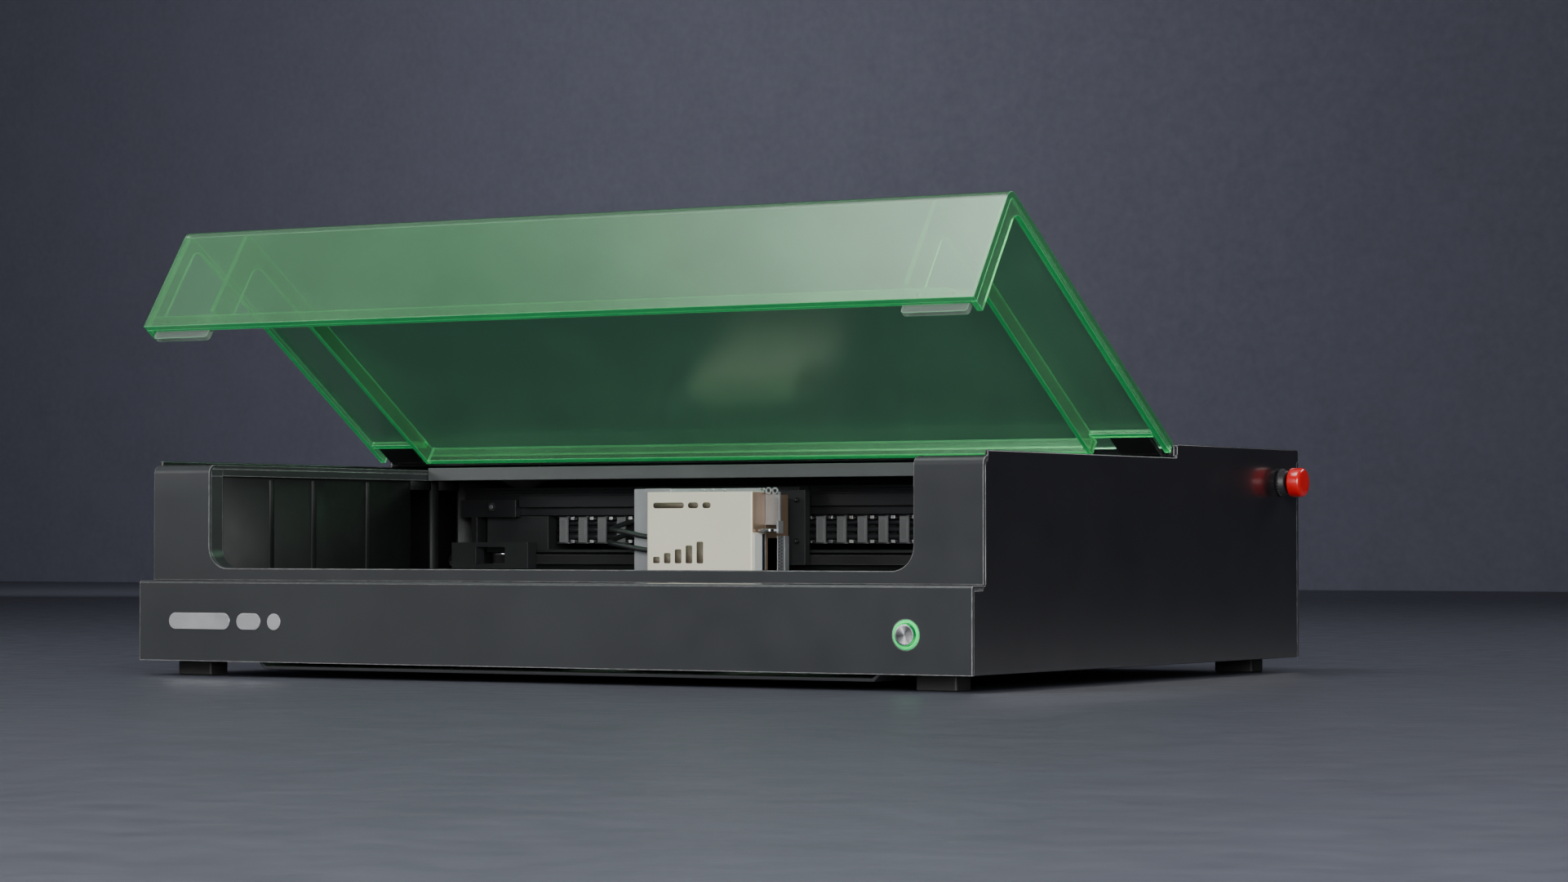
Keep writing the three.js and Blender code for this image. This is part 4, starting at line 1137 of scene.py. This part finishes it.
def gauge_lever():
    """Fold-down gauge lever with a turned pivot."""
    piece = Piece("focus_lever_plate")
    low, high = span("focus_lever")
    z = (low.z + high.z) / 2
    y = high.y - 1.5
    outline = filleted([(low.x, low.y, 1.5), (high.x, low.y, 3.5), (high.x, y), (low.x, y)], 5)
    piece.prism(Z, outline, (z - 1, z + 1), FINISH["rail_steel"])
    piece.rod(X, (y, z), 1.5, (low.x, high.x), FINISH["rail_steel"], 20)
    piece.done("focus_lever", "rail_steel", ["focus_lever"], bevel=0.25)


CABLE = 4.4
CABLE_HEIGHTS = ((119.0, 126.0, 117.0, 111.0), (110.0, 116.0, 106.0, 100.0))


def eased_height(heights, t):
    """Height along a cable that passes smoothly through evenly spaced stations."""
    steps = len(heights) - 1
    k = min(int(t * steps), steps - 1)
    u = t * steps - k
    return heights[k] + (heights[k + 1] - heights[k]) * u * u * (3 - 2 * u)


def head_cables():
    """Two cables that leave the carriage behind the back plate and loop into the head's left side."""
    plate_low, plate_high = span("laser_back_plate")
    cover_low, _ = span("laser_front_cover")
    carriage_low, _ = span("carriage_plate")
    for k, heights in enumerate(CABLE_HEIGHTS):
        y_back, y_front = plate_high.y + 44 - k * 3, cover_low.y + 11
        radius = (y_back - y_front) / 2
        turn_x = plate_low.x - 2 - k * 3
        flat = [(carriage_low.x - 0.5 + (turn_x - carriage_low.x) * i / 8, y_back) for i in range(9)]
        for i in range(1, 15):
            angle = math.pi * i / 15
            flat.append((turn_x - radius * math.sin(angle), y_back - radius * (1 - math.cos(angle))))
        flat += [(turn_x + (cover_low.x + 0.5 - turn_x) * i / 6, y_front) for i in range(7)]
        last = len(flat) - 1
        path = [(x, y, eased_height(heights, i / last)) for i, (x, y) in enumerate(flat)]
        piece = Piece(f"head_cable_{k}")
        piece.tube(path, CABLE / 2, CABLE_BLACK, 14)
        made = piece.loose(0)
        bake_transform(made)


# ---------------------------------------------------------------- controls and rear fittings
def power_button():
    """Lit ring and turned cap."""
    low, high = span("button_ring")
    centre = ((low.x + high.x) / 2, (low.z + high.z) / 2)
    outer = (high.x - low.x) / 2
    cap_low, cap_high = span("power_button")
    cap = (cap_high.x - cap_low.x) / 2
    inner = cap + 0.9
    piece = Piece("button_ring_lit")
    profile = [(inner, low.y + 0.6), (inner + 0.5, low.y), (outer - 0.7, low.y), (outer, low.y + 0.7),
               (outer, high.y), (inner, high.y)]
    piece.lathe(Y, centre, profile, FINISH["button_glow"], 64, loop=True)
    piece.rod(Y, centre, inner + 0.2, (high.y - 1.4, high.y), FINISH["black_plastic"], 40)
    piece.done("enclosure", "button_glow", ["button_ring"], bevel=0)
    piece = Piece("power_button_cap")
    face = cap_low.y
    profile = [(0.0, face + 0.55), (cap * 0.55, face + 0.35), (cap * 0.82, face + 0.1), (cap - 0.5, face),
               (cap, face + 0.5), (cap, cap_high.y - 0.3), (cap - 0.4, cap_high.y), (0.0, cap_high.y)]
    piece.lathe(Y, centre, profile, FINISH["button_steel"], 64)
    piece.done("power_button", "button_steel", ["power_button"], bevel=0)


def emergency_stop():
    """Black collar with a stepped, fluted rim, and a glossy red mushroom."""
    low, high = span("estop_collar")
    centre = ((low.y + high.y) / 2, (low.z + high.z) / 2)
    radius = (high.y - low.y) / 2
    piece = Piece("estop_collar_stepped")
    bore = 4.8
    profile = [(bore, low.x), (radius, low.x), (radius, low.x + 2.6), (radius - 0.8, low.x + 3.2),
               (radius - 1.2, high.x - 0.8), (radius - 2.0, high.x), (bore, high.x)]
    piece.lathe(X, centre, profile, FINISH["black_plastic"], 64, loop=True)
    for i in range(28):
        angle = math.radians(i * 360 / 28)
        at = (centre[0] + (radius - 0.2) * math.cos(angle), centre[1] + (radius - 0.2) * math.sin(angle))
        piece.rod(X, at, 0.7, (low.x + 0.3, low.x + 2.4), FINISH["black_plastic"], 8, 0.1)
    piece.done("enclosure", "black_plastic", ["estop_collar"], bevel=0)
    low, high = span("estop_button")
    cap = (high.y - low.y) / 2
    rim = low.x + 5.2
    stem = bore - 0.4
    piece = Piece("estop_mushroom")
    profile = [(0.0, low.x), (stem, low.x), (stem, rim), (cap - 1.2, rim), (cap - 0.3, rim + 0.4),
               (cap, rim + 1.2)]
    profile += [(r, x) for x, r in arc((high.x - 3, cap - 3), 3, 90, 15, 6)]
    profile += [(cap * 0.45, high.x - 0.05), (0.0, high.x)]
    piece.lathe(X, centre, profile, FINISH["estop_red"], 64)
    piece.done("estop_button", "estop_red", ["estop_button"], bevel=0)


def exhaust():
    """Fan frame and port, with ribs and a finger guard of rings and spokes inside."""
    refined("exhaust_duct", "black_plastic", 0.4)
    _, high = span("exhaust_duct")
    hub_low, hub_high = span("exhaust_rotor")
    centre = ((hub_low.x + hub_high.x) / 2, (hub_low.z + hub_high.z) / 2)
    piece = Piece("exhaust_guard")
    back = high.y
    for radius in (12, 22, 32, 42):
        piece.ring(Y, centre, radius - 0.9, radius + 0.9, (back - 8.0, back - 6.2), FINISH["rail_steel"], 48)
    for angle in range(0, 180, 45):
        turn = Matrix.Translation((centre[0], 0, centre[1])) @ Matrix.Rotation(math.radians(angle), 4, "Y")
        before = set(piece.mesh.verts)
        piece.box((-47, 47), (back - 6.4, back - 4.8), (-0.9, 0.9), FINISH["rail_steel"])
        fresh = [v for v in piece.mesh.verts if v not in before]
        bmesh.ops.transform(piece.mesh, matrix=turn, verts=fresh)
    for i in range(24):
        angle = math.radians(i * 15)
        at = (centre[0] + 49.4 * math.cos(angle), centre[1] + 49.4 * math.sin(angle))
        piece.rod(Y, at, 0.8, (back - 22, back - 2), FINISH["black_plastic"], 8, 0.2)
    piece.done("enclosure", "black_plastic", bevel=0.2)


def rotor():
    """Hub with seven curved blades."""
    piece = Piece("exhaust_rotor_bladed")
    low, high = span("exhaust_rotor")
    centre = Vector(((low.x + high.x) / 2, (low.y + high.y) / 2, (low.z + high.z) / 2))
    plastic = FINISH["black_plastic"]
    profile = [(0.0, low.y + 1), (14.5, low.y + 1), (16, low.y + 2.5), (16, high.y - 2), (14, high.y - 0.5),
               (0.0, high.y - 0.5)]
    piece.lathe(Y, (centre.x, centre.z), profile, plastic, 48)
    tip = (high.z - low.z) / 2 - 1.0
    depth = (high.y - low.y) / 2 - 1.5
    for k in range(7):
        rings = []
        for i in range(9):
            r = 14.5 + (tip - 14.5) * i / 8
            lean = math.radians(k * 360 / 7 + 9 * i / 8)
            pitch = math.radians(52 - 22 * i / 8)
            outline = []
            for along, thick in ((-1, 0.0), (-0.6, 0.9), (0, 1.2), (0.6, 0.9), (1, 0.0), (0.6, -0.7),
                                 (0, -0.9), (-0.6, -0.7)):
                chord = depth * 1.05
                a = along * chord * math.cos(pitch) - thick * math.sin(pitch)
                b = along * chord * math.sin(pitch) * 0.7 + thick * math.cos(pitch)
                x = r * math.sin(lean) + a * math.cos(lean)
                z = r * math.cos(lean) - a * math.sin(lean)
                outline.append((centre.x + x, centre.y + b, centre.z + z))
            rings.append(outline)
        piece.solid(rings, plastic)
    piece.done("exhaust_rotor", "black_plastic", ["exhaust_rotor"], bevel=0)


def power_supply():
    """Supply case with vent slots, a terminal strip and screws."""
    refined("power_supply", "supply_case", 0.6)
    low, high = span("power_supply")
    piece = Piece("supply_details")
    for i in range(14):
        x = low.x + 22 + i * 9.4
        piece.box((x - 2, x + 2), (low.y + 10, high.y - 10), (high.z - 0.3, high.z + 0.25),
                  FINISH["black_plastic"], 1.8, Z)
    piece.box((low.x + 4, low.x + 15), (low.y + 5, high.y - 5), (high.z - 12, high.z + 3),
              FINISH["black_plastic"])
    for i in range(7):
        y = low.y + 10 + i * 6.4
        piece.screw(Z, (low.x + 9.5, y), high.z + 2.9, 1, 2.0)
    piece.done("enclosure", "supply_case", bevel=0.3)


def rocker():
    """Rocker in its CAD shape with softened edges."""
    refined("rocker_switch", "black_plastic", 0.7, 3)


REFINED = {
    "base_pan": ("pan_steel", 0.5), "front_lower_panel": ("grey_coat", 0.9),
    "rear_panel": ("black_gloss", 0), "rear_lip": ("lip_grey", 0.5), "work_bed": ("bed_alloy", 0.25),
    "power_inlet": ("black_plastic", 0.4), "laser_housing": ("bronze_body", 0.5),
    "laser_heatsink": ("black_anodised", 0.3),
}
REFINED_PAIRS = {
    "y_rail": ("rail_steel", 0.7), "hinge_bracket": ("hinge_black", 0.35),
    "gantry_end": ("black_anodised", 0.5),
}


def build_enclosure():
    upper_shell()
    window_return()
    badge()
    panel_screws()
    case_shell()
    for side, word in SIDES:
        inner_wall(side, word)
        foot(f"foot_front_{word}")
        foot(f"foot_rear_{word}")
    for node, (slot, bevel) in REFINED.items():
        refined(node, slot, bevel)
    for stem, (slot, bevel) in REFINED_PAIRS.items():
        for _, word in SIDES:
            refined(f"{stem}_{word}", slot, bevel)
    motor("y_motor", X, "enclosure")
    toothed_belt("y_belt", X, "enclosure")
    power_supply()


def build_lid():
    lid_sheet()
    lid_strip()
    lid_ribs()
    for _, word in SIDES:
        lid_cheek(word)
        lid_pad(word)
        hinge_leaf(word)


def build_gantry():
    beam()
    tray()
    chain()
    tensioner()
    motor("x_motor", Z, "gantry")
    toothed_belt("x_belt", Z, "gantry")
    toothed_pulley("x_idler_pulley", Z)
    toothed_pulley("x_drive_pulley", Z)
    toothed_pulley("y_drive_pulley", X, at_top=False)
    toothed_pulley("y_idler_pulley", X)


def build_head():
    carriage()
    head_cover()
    cover_marks()
    head_side()
    back_plate()
    nozzle()
    gauge_lever()
    head_cables()


def build_controls():
    power_button()
    emergency_stop()
    exhaust()
    rotor()
    rocker()


# ---------------------------------------------------------------- studio
CAMERA_PLACE = (1.73675, -2.7842, 0.1066)
CAMERA_TURN = (91.45, 0.0, 31.42)
LENS = 92.0


def camera():
    data = bpy.data.cameras.new("camera")
    data.lens = LENS
    data.sensor_width = 36.0
    data.clip_end = 60.0
    made = bpy.data.objects.new("camera", data)
    made.location = CAMERA_PLACE
    made.rotation_euler = [math.radians(angle) for angle in CAMERA_TURN]
    bpy.context.scene.collection.objects.link(made)
    bpy.context.scene.camera = made


def softbox(name, place, target, size, power):
    data = bpy.data.lights.new(name, "AREA")
    data.shape = "RECTANGLE"
    data.size, data.size_y = size
    data.energy = power
    made = bpy.data.objects.new(name, data)
    made.location = place
    made.rotation_euler = (Vector(target) - Vector(place)).to_track_quat("-Z", "Y").to_euler()
    bpy.context.scene.collection.objects.link(made)


def stage_sheet(name, corners, material):
    data = bpy.data.meshes.new(name)
    data.from_pydata(corners, [], [(0, 1, 2, 3)])
    data.materials.append(material)
    made = bpy.data.objects.new(name, data)
    bpy.context.scene.collection.objects.link(made)
    return made


def overhead_panel(x, y, z, centre, reach, base, peak):
    """Light panel above the machine, strongest at `centre` and falling off softly all round."""
    made = Nodes("overhead_light")
    away = made.add("ShaderNodeVectorMath", operation="DISTANCE")
    away.inputs[1].default_value = (*centre, z)
    made.link(made.place, away.inputs[0])
    near = made.ranged(away.outputs["Value"], 1, 0, 0, reach)
    square = made.add("ShaderNodeMath", operation="POWER")
    square.inputs[1].default_value = 2.0
    made.link(near, square.inputs[0])
    lamp = made.add("ShaderNodeEmission")
    made.link(made.ranged(square.outputs["Value"], base, peak, 0, 1), lamp.inputs["Strength"])
    made.link(lamp.outputs["Emission"], made.tree.nodes["Material Output"].inputs["Surface"])
    corners = [(x[0], y[0], z), (x[0], y[1], z), (x[1], y[1], z), (x[1], y[0], z)]
    stage_sheet("overhead", corners, made.material).visible_camera = False


def floor_and_backdrop():
    slate = finish_of("slate_floor", (0.060, 0.064, 0.082), 0.42, (260.0, 0.12), uneven=0.08)
    wall = finish_of("slate_wall", (0.11, 0.115, 0.155), 0.8, (60.0, 0.05), uneven=0.04)
    reach, back, top = 30.0, 5.5, 12.0
    stage_sheet("floor", [(-reach, -reach, 0), (reach, -reach, 0), (reach, reach, 0), (-reach, reach, 0)],
                slate)
    stage_sheet("backdrop", [(-reach, back, -0.1), (reach, back, -0.1), (reach, back, top),
                             (-reach, back, top)], wall)


def studio():
    world = bpy.data.worlds.new("studio")
    world.use_nodes = True
    background = world.node_tree.nodes["Background"]
    background.inputs["Color"].default_value = (0.036, 0.039, 0.054, 1)
    background.inputs["Strength"].default_value = 1.0
    bpy.context.scene.world = world
    overhead_panel(x=(-2.9, 1.9), y=(-2.6, 1.8), z=3.0, centre=(-0.60, -1.0), reach=1.6,
                   base=0.40, peak=14.0)
    softbox("front_left", (-2.4, -2.6, 1.3), (0, -0.2, 0.1), (1.4, 1.2), 30)
    softbox("front_right", (1.9, -2.6, 0.8), (0, -0.05, 0.12), (2.2, 1.4), 105)
    softbox("back_right", (1.8, 2.4, 1.8), (0, 0, 0.2), (1.6, 1.0), 30)
    softbox("backdrop_glow", (-3.4, 3.2, 1.4), (-4.4, 5.5, 1.4), (1.6, 1.2), 30)


build_enclosure()
build_lid()
build_gantry()
build_head()
build_controls()
camera()
studio()
floor_and_backdrop()
